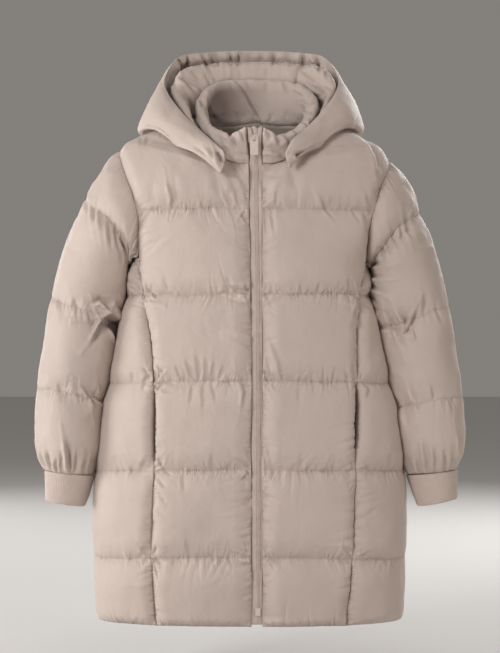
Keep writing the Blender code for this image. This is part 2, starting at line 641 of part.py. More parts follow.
def armhole(side, n):
    """The armhole as a ring: shoulder tip, down the front, underarm, up the back."""
    arm = arm_curve(side)
    u = UNDERARM[side]
    front = torso(*along(arm[::-1], np.linspace(0, 1, 60)).T)
    back = torso(*along(arm, np.linspace(0, 1, 60)).T, back=True)
    low = np.array([[u[0], 0.0, u[1]]])
    pts = np.vstack([front, low, back[:-1]])
    step = np.linalg.norm(np.diff(np.vstack([pts, pts[:1]]), axis=0), axis=1)
    length = np.r_[0, np.cumsum(step)]
    under = length[len(front)]
    loop = np.vstack([pts, pts[:1]])
    half = n // 2
    want = np.r_[np.linspace(0, under, half + 1)[:-1], np.linspace(under, length[-1], half + 1)[:-1]]
    return np.stack([np.interp(want, length, loop[:, k]) for k in range(3)], -1)


def near_armhole(side, p):
    """Share of a cell's swell left beside an armhole: 0 on it, 1 from 30 mm away."""
    hole = armhole(side, 72)
    far = np.linalg.norm(p[..., None, :] - hole, axis=-1).min(-1)
    return bump(far, 0.030)


def clear_of_body(side, p, keep):
    """Push points outward until they are keep clear of the swollen side of the body."""
    x, y, z = p[..., 0], p[..., 1], p[..., 2]
    left, right, zx, front, rear = body(z)
    limit = UNDERARM[side][1] + 0.004 + 0.008 * np.clip(np.abs(y) / 0.055, 0, 1.2) ** 2
    low = np.clip((limit - z) / 0.030, 0, 1)
    swell = 0.0012 + PUFF_SIDE * np.sqrt(1 - (1 - low) ** 2)
    half = (zx - left if side == "l" else right - zx) + swell
    deep = np.where(y > 0, rear, front) + swell
    edge = half * np.clip(1 - (np.abs(y) / deep) ** ROUND, 0, 1) ** (1 / ROUND) + keep
    far = zx - edge if side == "l" else zx + edge
    out = p.copy()
    moved = np.minimum(x, far) if side == "l" else np.maximum(x, far)
    out[..., 0] = np.where(z < limit, moved, x)
    return out


def sleeve_points(side, theta, levels):
    """Base surface of a sleeve: theta ring angles, levels from 0, the armhole, to the cuff seam."""
    sgn = -1 if side == "l" else 1
    table = SLEEVE_L if side == "l" else SLEEVE_R
    hole = armhole(side, len(theta))
    rings = [hole] + [ring(row, theta, sgn) for row in table]
    stack = np.array(rings)                       # level, theta, xyz
    return np.stack([hermite(np.arange(len(stack)), stack[:, k], levels) for k in range(len(theta))], 0)


def sleeve(side, mat):
    n = 18
    theta = np.linspace(0, 2 * math.pi, n, endpoint=False)
    # cells end on levels 0, 1, 3, 5, 7
    levels = np.array((0, 0.15, 0.5, 0.86, 1, 1.28, 2.0, 2.72, 3, 3.28, 4.0, 4.72, 5, 5.28, 6.0, 6.6, 7.0))
    seams = (0, 1, 3, 5, 7)
    p = sleeve_points(side, theta, levels)
    first = p[:, 1] - p[:, 0]
    p[:, 0] += unit(first) * CLEAR_ARM
    p = clear_of_body(side, p, 0.0050)
    nrm = grid_normals(p, wrap=True)
    centre = p.mean(0)
    nrm = nrm * np.sign((nrm * (p - centre)).sum(-1, keepdims=True))
    up = physical(p, 1)
    near = np.zeros(p.shape[:2])
    at = [int(np.argmin(np.abs(levels - s))) for s in seams]
    for j, lv in enumerate(levels):
        c = min(max(k for k in range(len(seams)) if seams[k] <= lv + 1e-9), len(seams) - 2)
        near[:, j] = np.minimum(up[:, j] - up[:, at[c]], up[:, at[c + 1]] - up[:, j])
    face = np.sin(theta)[:, None] ** 2
    edge = np.where(levels < 1, PUFF_CAP, PUFF_EDGE)[None, :]
    h = (edge + (PUFF_SLEEVE - edge) * face) * bump(near, 0.036)
    share = h / h.max()
    outer = clear_of_body(side, p + nrm * (SEAM_WALL * 0.3 + h)[..., None], 0.0012)
    inner = p - nrm * (SEAM_WALL * 0.7 + 0.002 * share)[..., None]
    return shell(f"sleeve_{side}", outer, inner, mat, wrap=True)


def cuff(side, mat):
    n = 18
    theta = np.linspace(0, 2 * math.pi, n, endpoint=False)
    sgn = -1 if side == "l" else 1
    table = CUFF_L if side == "l" else CUFF_R
    rings = np.array([ring((*row, 0.0), theta, sgn) for row in table])
    p = np.stack([hermite(np.arange(len(rings)), rings[:, k], np.array((0, 0.5, 1.0, 1.5, 2.0))) for k in range(n)], 0)
    nrm = grid_normals(p, wrap=True)
    nrm = nrm * np.sign((nrm * (p - p.mean(0))).sum(-1, keepdims=True))
    return shell(f"cuff_{side}", p + nrm * CUFF_WALL / 2, p - nrm * CUFF_WALL / 2, mat, wrap=True)


# ---------------------------------------------------------------- collar
def neck_seam(u):
    """Neck seam from the left zip edge round the back to the right zip edge."""
    zx = float(body(SPRING_Z)[2])
    front_l, front_r = zx - NECK_FRONT[:, 0], zx + NECK_FRONT[:, 0]
    front_l[0], front_r[0] = zip_edge("l", NECK_FRONT[0, 1]), zip_edge("r", NECK_FRONT[0, 1])
    left = torso(front_l, NECK_FRONT[:, 1])
    back_l = torso(zx - NECK_BACK[:, 0], NECK_BACK[:, 1], back=True)
    back_r = torso(zx + NECK_BACK[::-1, 0], NECK_BACK[::-1, 1], back=True)
    right = torso(front_r[::-1], NECK_FRONT[::-1, 1])
    pts = np.vstack([left[:-1], back_l[:-1], back_r[:-1], right])
    return along(pts, u)


def collar(mat):
    u = np.linspace(0, 1, 27)
    low = neck_seam(u)
    top = hermite(COLLAR_TOP[:, 0], COLLAR_TOP[:, 1:], u)
    tangent = unit(np.gradient(low, axis=0) + np.gradient(top, axis=0))
    rise = unit(top - low)
    out = unit(np.cross(tangent, rise))
    centre = low.mean(0)
    out = out * np.sign(((low - centre) * out).sum(-1, keepdims=True))
    height = np.linalg.norm(top - low, axis=1)
    # section: share of the height, share of the wall outward
    section = ((0.00, 0.05), (0.24, 0.38), (0.60, 0.52), (0.90, 0.36), (1.0, 0.0),
               (0.90, -0.34), (0.60, -0.44), (0.22, -0.38), (0.00, -0.14))
    thin = np.clip(np.minimum(u, 1 - u) / 0.03, 0, 1)
    wall = 0.008 + (COLLAR_WALL - 0.008) * np.sqrt(thin)
    loops = []
    for a, b in section:
        start = 0.0034
        loops.append(low + rise * (start + (height - start) * a)[:, None] + out * (wall * b)[:, None])
    loops = np.stack(loops, 1)
    return tube("collar", loops, mat)


# ---------------------------------------------------------------- hood
def hood_sections(t):
    """Control points of the hood's sections at section numbers t, 0 left end to 16 right end."""
    half = HOOD[:, :18].reshape(len(HOOD), 6, 3)
    other = half[:-1][::-1].copy()
    for k, m in enumerate(HOOD_MIRROR):
        other[:, k, 0] = 2 * m - other[:, k, 0]
    full = np.concatenate([half, other])
    wall = np.concatenate([HOOD[:, 18], HOOD[:-1, 18][::-1]])
    n = np.arange(len(full))
    pts = hermite(n, full.reshape(len(full), -1), t).reshape(-1, 6, 3)
    return pts, hermite(n, wall, t)


def hood_panel(name, t, mat, share):
    def points(u):
        pts, wall = hood_sections(u)
        return over_yoke(np.stack([along(q, share) for q in pts]), wall), wall

    grid, wall = points(t)
    last = 2 * (len(HOOD) - 1)
    step = 0.05
    du = points(np.clip(t + step, 0, last))[0] - points(np.clip(t - step, 0, last))[0]
    n = unit(np.cross(du, np.gradient(grid, axis=1)))
    # the outer side of the folded hood is below and outside
    flip = np.sign((n[:, -3] * (grid[:, -3] - grid.mean(1))).sum(-1)).mean()
    n = n * flip
    # clearance at the seams
    if t[0] > 0.5:
        grid[0] += unit(du[0]) * 4 * CLEAR
    if t[-1] < last - 0.5:
        grid[-1] -= unit(du[-1]) * 4 * CLEAR
    edge = np.minimum(share, 1 - share)
    f = 0.30 + 0.70 * bump(edge, 0.12)
    first = np.where(share < 0.12, 0.30 + 0.70 * share / 0.12, 1.0)
    seam = np.minimum(np.abs(t - HOOD_SEAM), np.abs(t - (last - HOOD_SEAM)))
    w = (wall * (0.22 + 0.78 * bump(seam, 0.5)))[:, None] * (f * np.minimum(first, 1))[None, :]
    outer = over_yoke(grid + n * (w * 0.5)[..., None], 0 * wall)
    inner = over_yoke(grid - n * (w * 0.5)[..., None], 0 * wall)
    return shell(name, outer, inner, mat)


def over_yoke(p, wall):
    """Raise hood points until they clear the pressed yoke by half their wall."""
    x, y, z = p[..., 0], p[..., 1], p[..., 2]
    left, right, zx, front, rear = [float(q) for q in body(np.array(SPRING_Z))]
    half = np.where(x < zx, zx - left, right - zx)
    deep = (1 - np.clip(np.abs(x - zx) / half, 0, 1) ** ROUND) ** (1 / ROUND)
    reach = np.where(y < SHOULDER_Y, SHOULDER_Y + front * deep, rear * deep - SHOULDER_Y)
    share = np.clip(np.abs(y - SHOULDER_Y) / np.maximum(reach, 1e-6), 0, 1)
    top = SPRING_Z + (shoulder_z(x, zx) - SPRING_Z) * np.sqrt(1 - share ** 2)
    steep = np.clip(share, 0, 0.9)
    need = (0.0094 + np.asarray(wall)[..., None] * 0.5) / np.sqrt(1 - steep ** 2)
    out = p.copy()
    out[..., 2] = np.where(share < 1, np.maximum(z, top + need), z)
    return out


def hood(mat):
    share = np.array((0, 0.06, 0.14, 0.22, 0.30, 0.40, 0.50, 0.60, 0.68, 0.78, 0.88, 0.95, 1.0))
    last = 2 * (len(HOOD) - 1)
    side = np.linspace(0, HOOD_SEAM, 12)
    mid = np.linspace(HOOD_SEAM, last - HOOD_SEAM, 7)
    hood_panel("hood_side_l", side, mat, share)
    hood_panel("hood_centre", mid, mat, share)
    hood_panel("hood_side_r", last - side[::-1], mat, share)


# ---------------------------------------------------------------- zip
def front_line(z_list, offset):
    """Points on the zip line, offset back from the base surface."""
    z_list = np.asarray(z_list, float)
    zx = body(z_list)[2]
    p = torso(zx, np.where(z_list > SPRING_Z, pattern_height(zx, z_list), z_list))
    p[:, 1] += offset
    return p


ZIP_Z = (-0.8125, -0.797, -0.70, -0.56, -0.42, -0.28, -0.16, -0.09, -0.032)


def zip_spine():
    """Centre line of the zip from the hem to the slider, then to the collar top."""
    low = front_line(ZIP_Z, ZIP_DEEP)
    top = np.array([SLIDER_AT[0], -0.1005, SLIDER_AT[1] - 0.006])
    return np.vstack([low, (low[-1] * 0.45 + top * 0.55)[None], top[None]])


def strip(name, left, right, thick, mat, back=(0, 1, 0)):
    """Flat strip between two edge lines; thick is measured along back."""
    back = np.asarray(back, float) * thick
    loops = np.stack([left, right, right + back, left + back], 1)
    return tube(name, loops, mat)


def zip_parts(tape_mat, coil_mat, metal):
    spine = zip_spine()
    half = COIL_WIDE / 2
    gap = 0.0004
    sx = np.array([1.0, 0, 0])
    strip("zip_coil", (spine - half * sx)[1:], (spine + half * sx)[1:], 0.0022, coil_mat)
    # tapes run on above the slider and spread to the collar's top edges
    z = spine[:, 2]
    wide_l = spine[:, 0] - zip_edge("l", np.minimum(z, -0.05))
    wide_r = zip_edge("r", np.minimum(z, -0.05)) - spine[:, 0]
    wide_l[-2:], wide_r[-2:] = 0.0095, 0.0098
    top_l = np.array([(-0.0052, -0.1003, 0.0160), (-0.0078, -0.1003, 0.0290)])
    top_r = np.array([(0.0152, -0.1003, 0.0160), (0.0168, -0.1003, 0.0290)])
    close = np.full(len(spine), half + gap)
    close[0] = 0.0009
    in_l = np.vstack([spine - close[:, None] * sx, top_l + (0.0062, 0, 0)])
    out_l = np.vstack([spine - (wide_l - 0.0008)[:, None] * sx, top_l - (0.0010, 0, 0)])
    in_r = np.vstack([spine + close[:, None] * sx, top_r - (0.0062, 0, 0)])
    out_r = np.vstack([spine + (wide_r - 0.0008)[:, None] * sx, top_r + (0.0010, 0, 0)])
    strip("zip_tape_l", out_l, in_l, TAPE_THICK, tape_mat)
    strip("zip_tape_r", in_r, out_r, TAPE_THICK, tape_mat)
    # retainer box over the coil's foot
    foot = spine[1]
    box("zip_stop", foot + (-0.001, -0.0036, 0.006), (0.0092, 0.0036, 0.0135), metal)
    # slider
    s = spine[-1] + np.array((0, 0, 0.0065))
    slider = slider_body("zip_slider", s, metal)
    pivot = s + np.array((-0.0015, -0.0043, 0.0008))
    pull_tab("zip_pull_tab", pivot, metal)
    return pivot


def box(name, centre, size, mat, bevel=0.0006):
    cx, cy, cz = centre
    sx, sy, sz = (d / 2 for d in size)
    verts = [(cx + a * sx, cy + b * sy, cz + c * sz) for a in (-1, 1) for b in (-1, 1) for c in (-1, 1)]
    faces = [(0, 1, 3, 2), (4, 6, 7, 5), (0, 4, 5, 1), (2, 3, 7, 6), (0, 2, 6, 4), (1, 5, 7, 3)]
    ob = add_mesh(name, np.array(verts), faces, mat)
    b = ob.modifiers.new("edge", "BEVEL")
    b.width = bevel
    b.segments = 1
    return ob


def slider_body(name, at, mat):
    """Wedge body with a bridge standing on it, for the tab's eye."""
    outline = ((-0.0048, -0.0075), (0.0048, -0.0075), (0.0058, 0.0040), (0.0040, 0.0065), (-0.0040, 0.0065), (-0.0058, 0.0040))
    front, rear = -0.0030, -0.0004
    verts = [(at[0] + x, at[1] + front, at[2] + z) for x, z in outline]
    verts += [(at[0] + x, at[1] + rear, at[2] + z) for x, z in outline]
    n = len(outline)
    faces = [tuple(range(n))[::-1], tuple(range(n, 2 * n))]
    faces += [(i, (i + 1) % n, n + (i + 1) % n, n + i) for i in range(n)]
    body_ob = add_mesh(name, np.array(verts), faces, mat)
    # bridge: a low arch along the slider's length, with the pin's bore left open under it
    arch = [(-0.0036, 0.0), (-0.0032, -0.0034), (-0.0022, -0.0044), (0.0030, -0.0044), (0.0040, -0.0034),
            (0.0042, 0.0), (0.0030, 0.0), (0.0028, -0.0030), (-0.0020, -0.0030), (-0.0022, 0.0)]
    w = 0.0011
    top = at[1] + front + 0.0004
    av = [(at[0] - 0.0015 + sx * w, top + y, at[2] + z) for sx in (-1, 1) for z, y in arch]
    m = len(arch)
    af = [tuple(range(m)), tuple(range(m, 2 * m))[::-1]]
    af += [(i, m + i, m + (i + 1) % m, (i + 1) % m) for i in range(m)]
    bridge = add_mesh(name + "_bridge", np.array(av), af, mat)
    mod = body_ob.modifiers.new("bridge", "BOOLEAN")
    mod.operation = "UNION"
    mod.object = bridge
    bridge.hide_render = True
    bridge.display_type = "WIRE"
    return body_ob


def pull_tab(name, pivot, mat):
    """Flat tab hung on the slider's bridge by its eye, which the bridge passes through."""
    wide, long, thick = TAB
    px, py, pz = pivot
    y0, y1 = py - thick / 2, py + thick / 2
    top, low = pz + TAB_BAR, pz + TAB_BAR - long
    outer = [(-wide / 2, low + 0.0015), (-wide / 2 + 0.0015, low), (wide / 2 - 0.0015, low), (wide / 2, low + 0.0015),
             (wide / 2, top - 0.0012), (wide / 2 - 0.0012, top), (-wide / 2 + 0.0012, top), (-wide / 2, top - 0.0012)]
    h, foot = TAB_HOLE, pz - TAB_EYE
    hole = [(-h, foot + 0.0008), (-h * 0.5, foot), (h * 0.5, foot), (h, foot + 0.0008),
            (h, pz - TAB_BAR - 0.0004), (h * 0.6, pz - TAB_BAR), (-h * 0.6, pz - TAB_BAR), (-h, pz - TAB_BAR - 0.0004)]
    verts = []
    for y in (y0, y1):
        verts += [(px + x, y, z) for x, z in outer] + [(px + x, y, z) for x, z in hole]
    faces = []
    n = len(outer)
    for i in range(n):
        k = (i + 1) % n
        faces.append((i, k, n + k, n + i))
        faces.append((2 * n + k, 2 * n + i, 3 * n + i, 3 * n + k))
        faces.append((k, i, 2 * n + i, 2 * n + k))
        faces.append((n + i, n + k, 3 * n + k, 3 * n + i))
    return add_mesh(name, np.array(verts), faces, mat, origin=pivot)


# ---------------------------------------------------------------- build
def main():
    for ob in list(bpy.data.objects):
        bpy.data.objects.remove(ob, do_unlink=True)
    cloth = material("padded_shell", (0.42, 0.33, 0.27), 0.62)
    rib = material("rib_knit", (0.36, 0.28, 0.23), 0.85)
    tape = material("zip_tape", (0.40, 0.31, 0.26), 0.75)
    coil = material("zip_coil", (0.33, 0.25, 0.21), 0.5)
    metal = material("painted_zip", (0.45, 0.36, 0.30), 0.4, 0.2)
    for side in "lr":
        front_panel(side, cloth)
        side_front(side, cloth)
        sleeve(side, cloth)
        cuff(side, rib)
    back_panel(cloth)
    collar(cloth)
    hood(cloth)
    pivot = zip_parts(tape, coil, metal)
    print("tab pivot", [round(float(c), 5) for c in pivot])


main()
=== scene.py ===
"""Looks of the long hooded puffer coat: quilted shell cloth with gathers, folded hood,
padded collar, rib cuffs and zip, built on the same seams as the CAD part.

Metres, +Z up, the front faces -Y. Every padded piece starts as a smooth pillow on the
base surface. Its cloth is then given more length than the pillow beside the seams and
left to settle, so that it buckles into gathers, and listed folds are pressed in.
"""

import math

import bpy
from mathutils.bvhtree import BVHTree
import numpy as np
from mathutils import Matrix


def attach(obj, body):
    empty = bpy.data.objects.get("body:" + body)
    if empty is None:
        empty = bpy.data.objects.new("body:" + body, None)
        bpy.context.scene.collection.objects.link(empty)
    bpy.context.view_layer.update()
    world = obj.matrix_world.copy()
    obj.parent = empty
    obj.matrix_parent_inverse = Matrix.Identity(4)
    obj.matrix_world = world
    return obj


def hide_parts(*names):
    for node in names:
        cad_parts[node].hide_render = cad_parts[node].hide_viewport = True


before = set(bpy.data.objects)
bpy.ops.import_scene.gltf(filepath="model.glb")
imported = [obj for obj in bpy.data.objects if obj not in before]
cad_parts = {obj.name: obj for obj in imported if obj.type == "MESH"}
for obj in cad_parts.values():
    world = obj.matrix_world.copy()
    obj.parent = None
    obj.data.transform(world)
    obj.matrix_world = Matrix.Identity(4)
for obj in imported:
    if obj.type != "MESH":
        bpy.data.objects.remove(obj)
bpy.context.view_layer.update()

# ------------------------------------------------------------------ pattern tables
SPRING_Z = -0.100
YOKE_RISE = 0.160
SHOULDER_Y = 0.012
ROUND = 2.6
PRESSED = 0.30

TORSO = np.array([
    # z       left     right    zip     front   back
    (-0.816, -0.2640,  0.2560,  0.0108, 0.121,  0.113),
    (-0.760, -0.2675,  0.2580,  0.0108, 0.127,  0.118),
    (-0.690, -0.2700,  0.2610,  0.0108, 0.128,  0.120),
    (-0.560, -0.2675,  0.2610,  0.0108, 0.125,  0.120),
    (-0.440, -0.2520,  0.2440,  0.0108, 0.120,  0.118),
    (-0.320, -0.2265,  0.2140,  0.0106, 0.114,  0.113),
    (-0.250, -0.2125,  0.2005,  0.0100, 0.110,  0.111),
    (-0.196, -0.2070,  0.2000,  0.0094, 0.106,  0.110),
    (-0.150, -0.2230,  0.2280,  0.0084, 0.103,  0.109),
    (-0.100, -0.2440,  0.2530,  0.0074, 0.100,  0.106),
])
SHOULDER_L = np.array([(0.000, 0.066), (0.060, 0.055), (0.100, 0.048), (0.140, 0.038),
                       (0.180, 0.030), (0.207, 0.0205), (0.224, 0.010), (0.241, -0.0045)])
SHOULDER_R = np.array([(0.000, 0.066), (0.060, 0.055), (0.100, 0.048), (0.140, 0.038),
                       (0.170, 0.029), (0.195, 0.0145), (0.215, -0.0035), (0.234, -0.022)])
QUILT = np.array([(-0.816, -0.816), (-0.697, -0.708), (-0.550, -0.559),
                  (-0.400, -0.408), (-0.254, -0.256), (-0.1086, -0.1095)])
PRINCESS = np.array([
    (-0.816, -0.1610,  0.1590), (-0.760, -0.1660,  0.1640), (-0.690, -0.1690,  0.1700),
    (-0.600, -0.1680,  0.1730), (-0.500, -0.1655,  0.1765), (-0.400, -0.1680,  0.1790),
    (-0.320, -0.1745,  0.1790), (-0.260, -0.1850,  0.1830), (-0.190, -0.1925,  0.1945),
])
ARM_L = np.array([(-0.1925, -0.1895), (-0.1934, -0.1747), (-0.1941, -0.1336), (-0.1975, -0.1103),
                  (-0.2046, -0.0835), (-0.2150, -0.0531), (-0.2238, -0.0297)])
ARM_R = np.array([(0.1960, -0.1960), (0.1985, -0.1747), (0.2008, -0.1436), (0.2065, -0.1188),
                  (0.2130, -0.0960), (0.2210, -0.0697), (0.2305, -0.0466)])
UNDERARM = {"l": (-0.2075, -0.1930), "r": (0.2010, -0.2000)}
SHOULDER_TIP = {"l": -0.2328, "r": 0.2398}
NECK_FRONT = np.array([(0.0115, -0.0536), (0.030, -0.0520), (0.055, -0.0430), (0.080, -0.0180),
                       (0.094, 0.0200), (0.098, 0.0600)])
NECK_BACK = np.array([(0.098, 0.0600), (0.090, 0.0400), (0.065, 0.0255), (0.035, 0.0195), (0.0, 0.0180)])

SLEEVE_L = np.array([
    # x        y       z       rx      ry      tilt   lift
    (-0.2520,  0.004, -0.1475, 0.0680, 0.0700, 56.0,  0.018),
    (-0.2720,  0.000, -0.2145, 0.0630, 0.0640, 28.0,  0.006),
    (-0.2888, -0.003, -0.2793, 0.0610, 0.0600, 15.3,  0.000),
    (-0.2993, -0.007, -0.3554, 0.0615, 0.0600, 11.0,  0.000),
    (-0.3112, -0.012, -0.4254, 0.0590, 0.0570,  8.2,  0.000),
    (-0.3180, -0.017, -0.5070, 0.0550, 0.0540,  7.0,  0.000),
    (-0.3170, -0.022, -0.5620, 0.0425, 0.0410,  5.7,  0.000),
])
SLEEVE_R = np.array([
    (0.2499,  0.004, -0.1608, 0.0655, 0.0700, 50.9,  0.016),
    (0.2639,  0.000, -0.2294, 0.0650, 0.0640, 29.0,  0.006),
    (0.2770, -0.003, -0.2940, 0.0655, 0.0600, 20.0,  0.000),
    (0.2923, -0.007, -0.3738, 0.0620, 0.0600, 14.0,  0.000),
    (0.3037, -0.012, -0.4403, 0.0595, 0.0570, 12.5,  0.000),
    (0.3111, -0.017, -0.5094, 0.0555, 0.0540, 10.0,  0.000),
    (0.3120, -0.022, -0.5605, 0.0435, 0.0410,  6.5,  0.000),
])
CUFF_L = np.array([(-0.3172, -0.0220, -0.5625, 0.0415, 0.0390, 5.7),
                   (-0.3205, -0.0245, -0.5900, 0.0375, 0.0360, 7.5),
                   (-0.3248, -0.0270, -0.6150, 0.0335, 0.0325, 9.4)])
CUFF_R = np.array([(0.3120, -0.0220, -0.5615, 0.0430, 0.0390, 6.5),
                   (0.3165, -0.0245, -0.5885, 0.0375, 0.0360, 8.8),
                   (0.3212, -0.0270, -0.6133, 0.0335, 0.0325, 10.8)])
COLLAR_TOP = np.array([
    # u      x        y       z
    (0.000, -0.0110, -0.1020, 0.0300),
    (0.070, -0.0360, -0.0950, 0.0200),
    (0.150, -0.0640, -0.0600, 0.0330),
    (0.250, -0.0840, -0.0050, 0.0720),
    (0.350, -0.0860,  0.0400, 0.1100),
    (0.430, -0.0580,  0.0640, 0.1270),
    (0.510,  0.0060,  0.0700, 0.1310),
    (0.590,  0.0680,  0.0640, 0.1270),
    (0.670,  0.0985,  0.0400, 0.1100),
    (0.760,  0.1000, -0.0050, 0.0740),
    (0.860,  0.0800, -0.0580, 0.0350),
    (0.935,  0.0480, -0.0930, 0.0190),
    (1.000,  0.0195, -0.1020, 0.0300),
])
HOOD = np.array([
    # neck edge, fold above the collar, under layer, bottom of the bag, outer layer, rim; wall
    (-0.050, -0.1075, -0.0290, -0.054, -0.1105, -0.0270, -0.056, -0.1140, -0.0340, -0.057, -0.1190, -0.0440, -0.053, -0.1225, -0.0370, -0.049, -0.1215, -0.0270, 0.0050),
    (-0.071, -0.0960, -0.0080, -0.078, -0.0960,  0.0000, -0.086, -0.0990, -0.0060, -0.090, -0.1060, -0.0150, -0.081, -0.1090, -0.0020, -0.071, -0.1040,  0.0080, 0.0065),
    (-0.091, -0.0640,  0.0170, -0.101, -0.0560,  0.0330, -0.115, -0.0610,  0.0170, -0.1290, -0.0720,  0.0030, -0.111, -0.0810,  0.0180, -0.090, -0.0740,  0.0270, 0.0075),
    (-0.106, -0.0120,  0.0490, -0.121,  0.0020,  0.0760, -0.143, -0.0070,  0.0420, -0.1660, -0.0260,  0.0200, -0.143, -0.0460,  0.0400, -0.116, -0.0440,  0.0540, 0.0090),
    (-0.105,  0.0330,  0.0600, -0.135,  0.0430,  0.1080, -0.157,  0.0480,  0.0580, -0.1950,  0.0330,  0.0375, -0.172,  0.0000,  0.0700, -0.146,  0.0100,  0.0960, 0.0110),
    (-0.083,  0.0600,  0.0600, -0.122,  0.0690,  0.1440, -0.151,  0.0930,  0.0560, -0.1900,  0.0980,  0.0310, -0.180,  0.0800,  0.0880, -0.156,  0.0780,  0.1330, 0.0120),
    (-0.058,  0.0690,  0.0580, -0.092,  0.0850,  0.1540, -0.116,  0.1170,  0.0480, -0.1430,  0.1480, -0.0100, -0.160,  0.1740,  0.0640, -0.134,  0.1430,  0.1800, 0.0130),
    (-0.029,  0.0710,  0.0560, -0.052,  0.0920,  0.1590, -0.066,  0.1200,  0.0430, -0.0800,  0.1600, -0.0340, -0.094,  0.2060,  0.0480, -0.084,  0.1640,  0.1920, 0.0130),
    ( 0.006,  0.0720,  0.0560,  0.003,  0.0940,  0.1610,  0.002,  0.1220,  0.0420,  0.0010,  0.1640, -0.0440, -0.001,  0.2160,  0.0400,  0.000,  0.1710,  0.1960, 0.0130),
])
HOOD_MIRROR = (0.008, 0.004, -0.001, -0.003, -0.001, -0.001)
# how the two ends of the wings sit, point by point of their section
TIP_LEFT = np.array([(0.009, 0.001, 0.000), (0.009, 0.001, 0.001), (0.007, 0.000, -0.003), (0.006, -0.001, -0.005),
                     (0.006, -0.001, 0.006), (0.003, 0.000, 0.011)])
TIP_RIGHT = np.array([(0.008, 0.001, 0.004), (0.008, 0.000, 0.005), (0.010, 0.000, 0.003), (0.012, -0.002, 0.004),
                      (0.009, -0.003, 0.006), (0.008, 0.000, 0.008)])
HOOD_SEAM = 6.35
HOOD_REST = np.array([(0.000, -0.070), (0.050, -0.056), (0.080, -0.038), (0.115, -0.024), (0.150, -0.018), (0.200, 0.000)])
ZIP_DEEP = 0.0012
SLIDER_AT = (0.0050, 0.0095)
EYE = (-0.0035, -3.45, -0.309)   # the viewer's eye


# ------------------------------------------------------------------ small numerics
def hermite(xs, ys, x):
    xs, ys, x = np.asarray(xs, float), np.asarray(ys, float), np.clip(np.asarray(x, float), xs[0], xs[-1])
    m = np.gradient(ys, xs, axis=0)
    i = np.clip(np.searchsorted(xs, x, side="right") - 1, 0, len(xs) - 2)
    h = xs[i + 1] - xs[i]
    t = (x - xs[i]) / h
    if ys.ndim > 1:
        t, h = t[..., None], h[..., None]
    return ((2 * t**3 - 3 * t**2 + 1) * ys[i] + (t**3 - 2 * t**2 + t) * h * m[i]
            + (-2 * t**3 + 3 * t**2) * ys[i + 1] + (t**3 - t**2) * h * m[i + 1])


def along(points, share):
    points = np.asarray(points, float)
    step = np.r_[0, np.cumsum(np.linalg.norm(np.diff(points, axis=0), axis=1))]
    fine = hermite(step, points, np.linspace(0, step[-1], 240))
    length = np.r_[0, np.cumsum(np.linalg.norm(np.diff(fine, axis=0), axis=1))]
    want = np.asarray(share) * length[-1]
    return np.stack([np.interp(want, length, fine[:, k]) for k in range(fine.shape[1])], -1)


def unit(v):
    return v / np.maximum(np.linalg.norm(v, axis=-1, keepdims=True), 1e-12)


def ring_gradient(p, axis):
    return np.roll(p, -1, axis) - np.roll(p, 1, axis)


def grid_normals(p, ring_u=False, ring_v=False):
    du = ring_gradient(p, 0) if ring_u else np.gradient(p, axis=0)
    dv = ring_gradient(p, 1) if ring_v else np.gradient(p, axis=1)
    return unit(np.cross(du, dv))


def physical(p, axis):
    d = np.linalg.norm(np.diff(p, axis=axis), axis=-1)
    pad = [(0, 0), (0, 0)]
    pad[axis] = (1, 0)
    return np.cumsum(np.pad(d, pad), axis=axis)


def graded(n, ease=0.4):
    """n steps from 0 to 1, closer together at both ends."""
    s = np.linspace(0, 1, n + 1)
    return s * (1 - ease) + (0.5 - 0.5 * np.cos(np.pi * s)) * ease


def crown(d, reach, power=0.7):
    """0 on a seam, 1 from reach inward, round in between."""
    t = 1 - np.clip(d / reach, 0, 1)
    return np.clip(1 - t * t, 0, 1) ** power


def lattice(i, seed):
    h = (i[..., 0] * 374761393 + i[..., 1] * 668265263 + i[..., 2] * 1103515245 + seed * 40503 * 977) & 0xFFFFFFFF
    h = ((h ^ (h >> 13)) * 1274126177) & 0xFFFFFFFF
    h = ((h ^ (h >> 15)) * 668265263) & 0xFFFFFFFF
    return ((h ^ (h >> 16)) & 0xFFFFFF) / float(0x1000000)


def noise(p, size, seed):
    """Smooth noise from -1 to 1 at points p, with lumps of the given size."""
    q = np.asarray(p, float) / size + 512.0
    i = np.floor(q).astype(np.int64)
    f = q - i
    f = f * f * f * (f * (f * 6 - 15) + 10)
    out = 0.0
    for a in (0, 1):
        for b in (0, 1):
            for c in (0, 1):
                w = (np.where(a, f[..., 0], 1 - f[..., 0]) * np.where(b, f[..., 1], 1 - f[..., 1])
                     * np.where(c, f[..., 2], 1 - f[..., 2]))
                out = out + w * lattice(i + np.array((a, b, c)), seed)
    return out * 2 - 1


def noise2(a, b, seed):
    a, b = np.broadcast_arrays(np.asarray(a, float), np.asarray(b, float))
    return noise(np.stack([a, b, np.zeros_like(a)], -1), 1.0, seed)


# ------------------------------------------------------------------ torso surface
def body(z):
    r = hermite(TORSO[:, 0], TORSO[:, 1:], np.minimum(z, SPRING_Z))
    return [r[..., k] for k in range(5)]


def shoulder_z(x, zip_x):
    d = x - zip_x
    return np.where(d < 0, hermite(SHOULDER_L[:, 0], SHOULDER_L[:, 1], -d),
                    hermite(SHOULDER_R[:, 0], SHOULDER_R[:, 1], d))


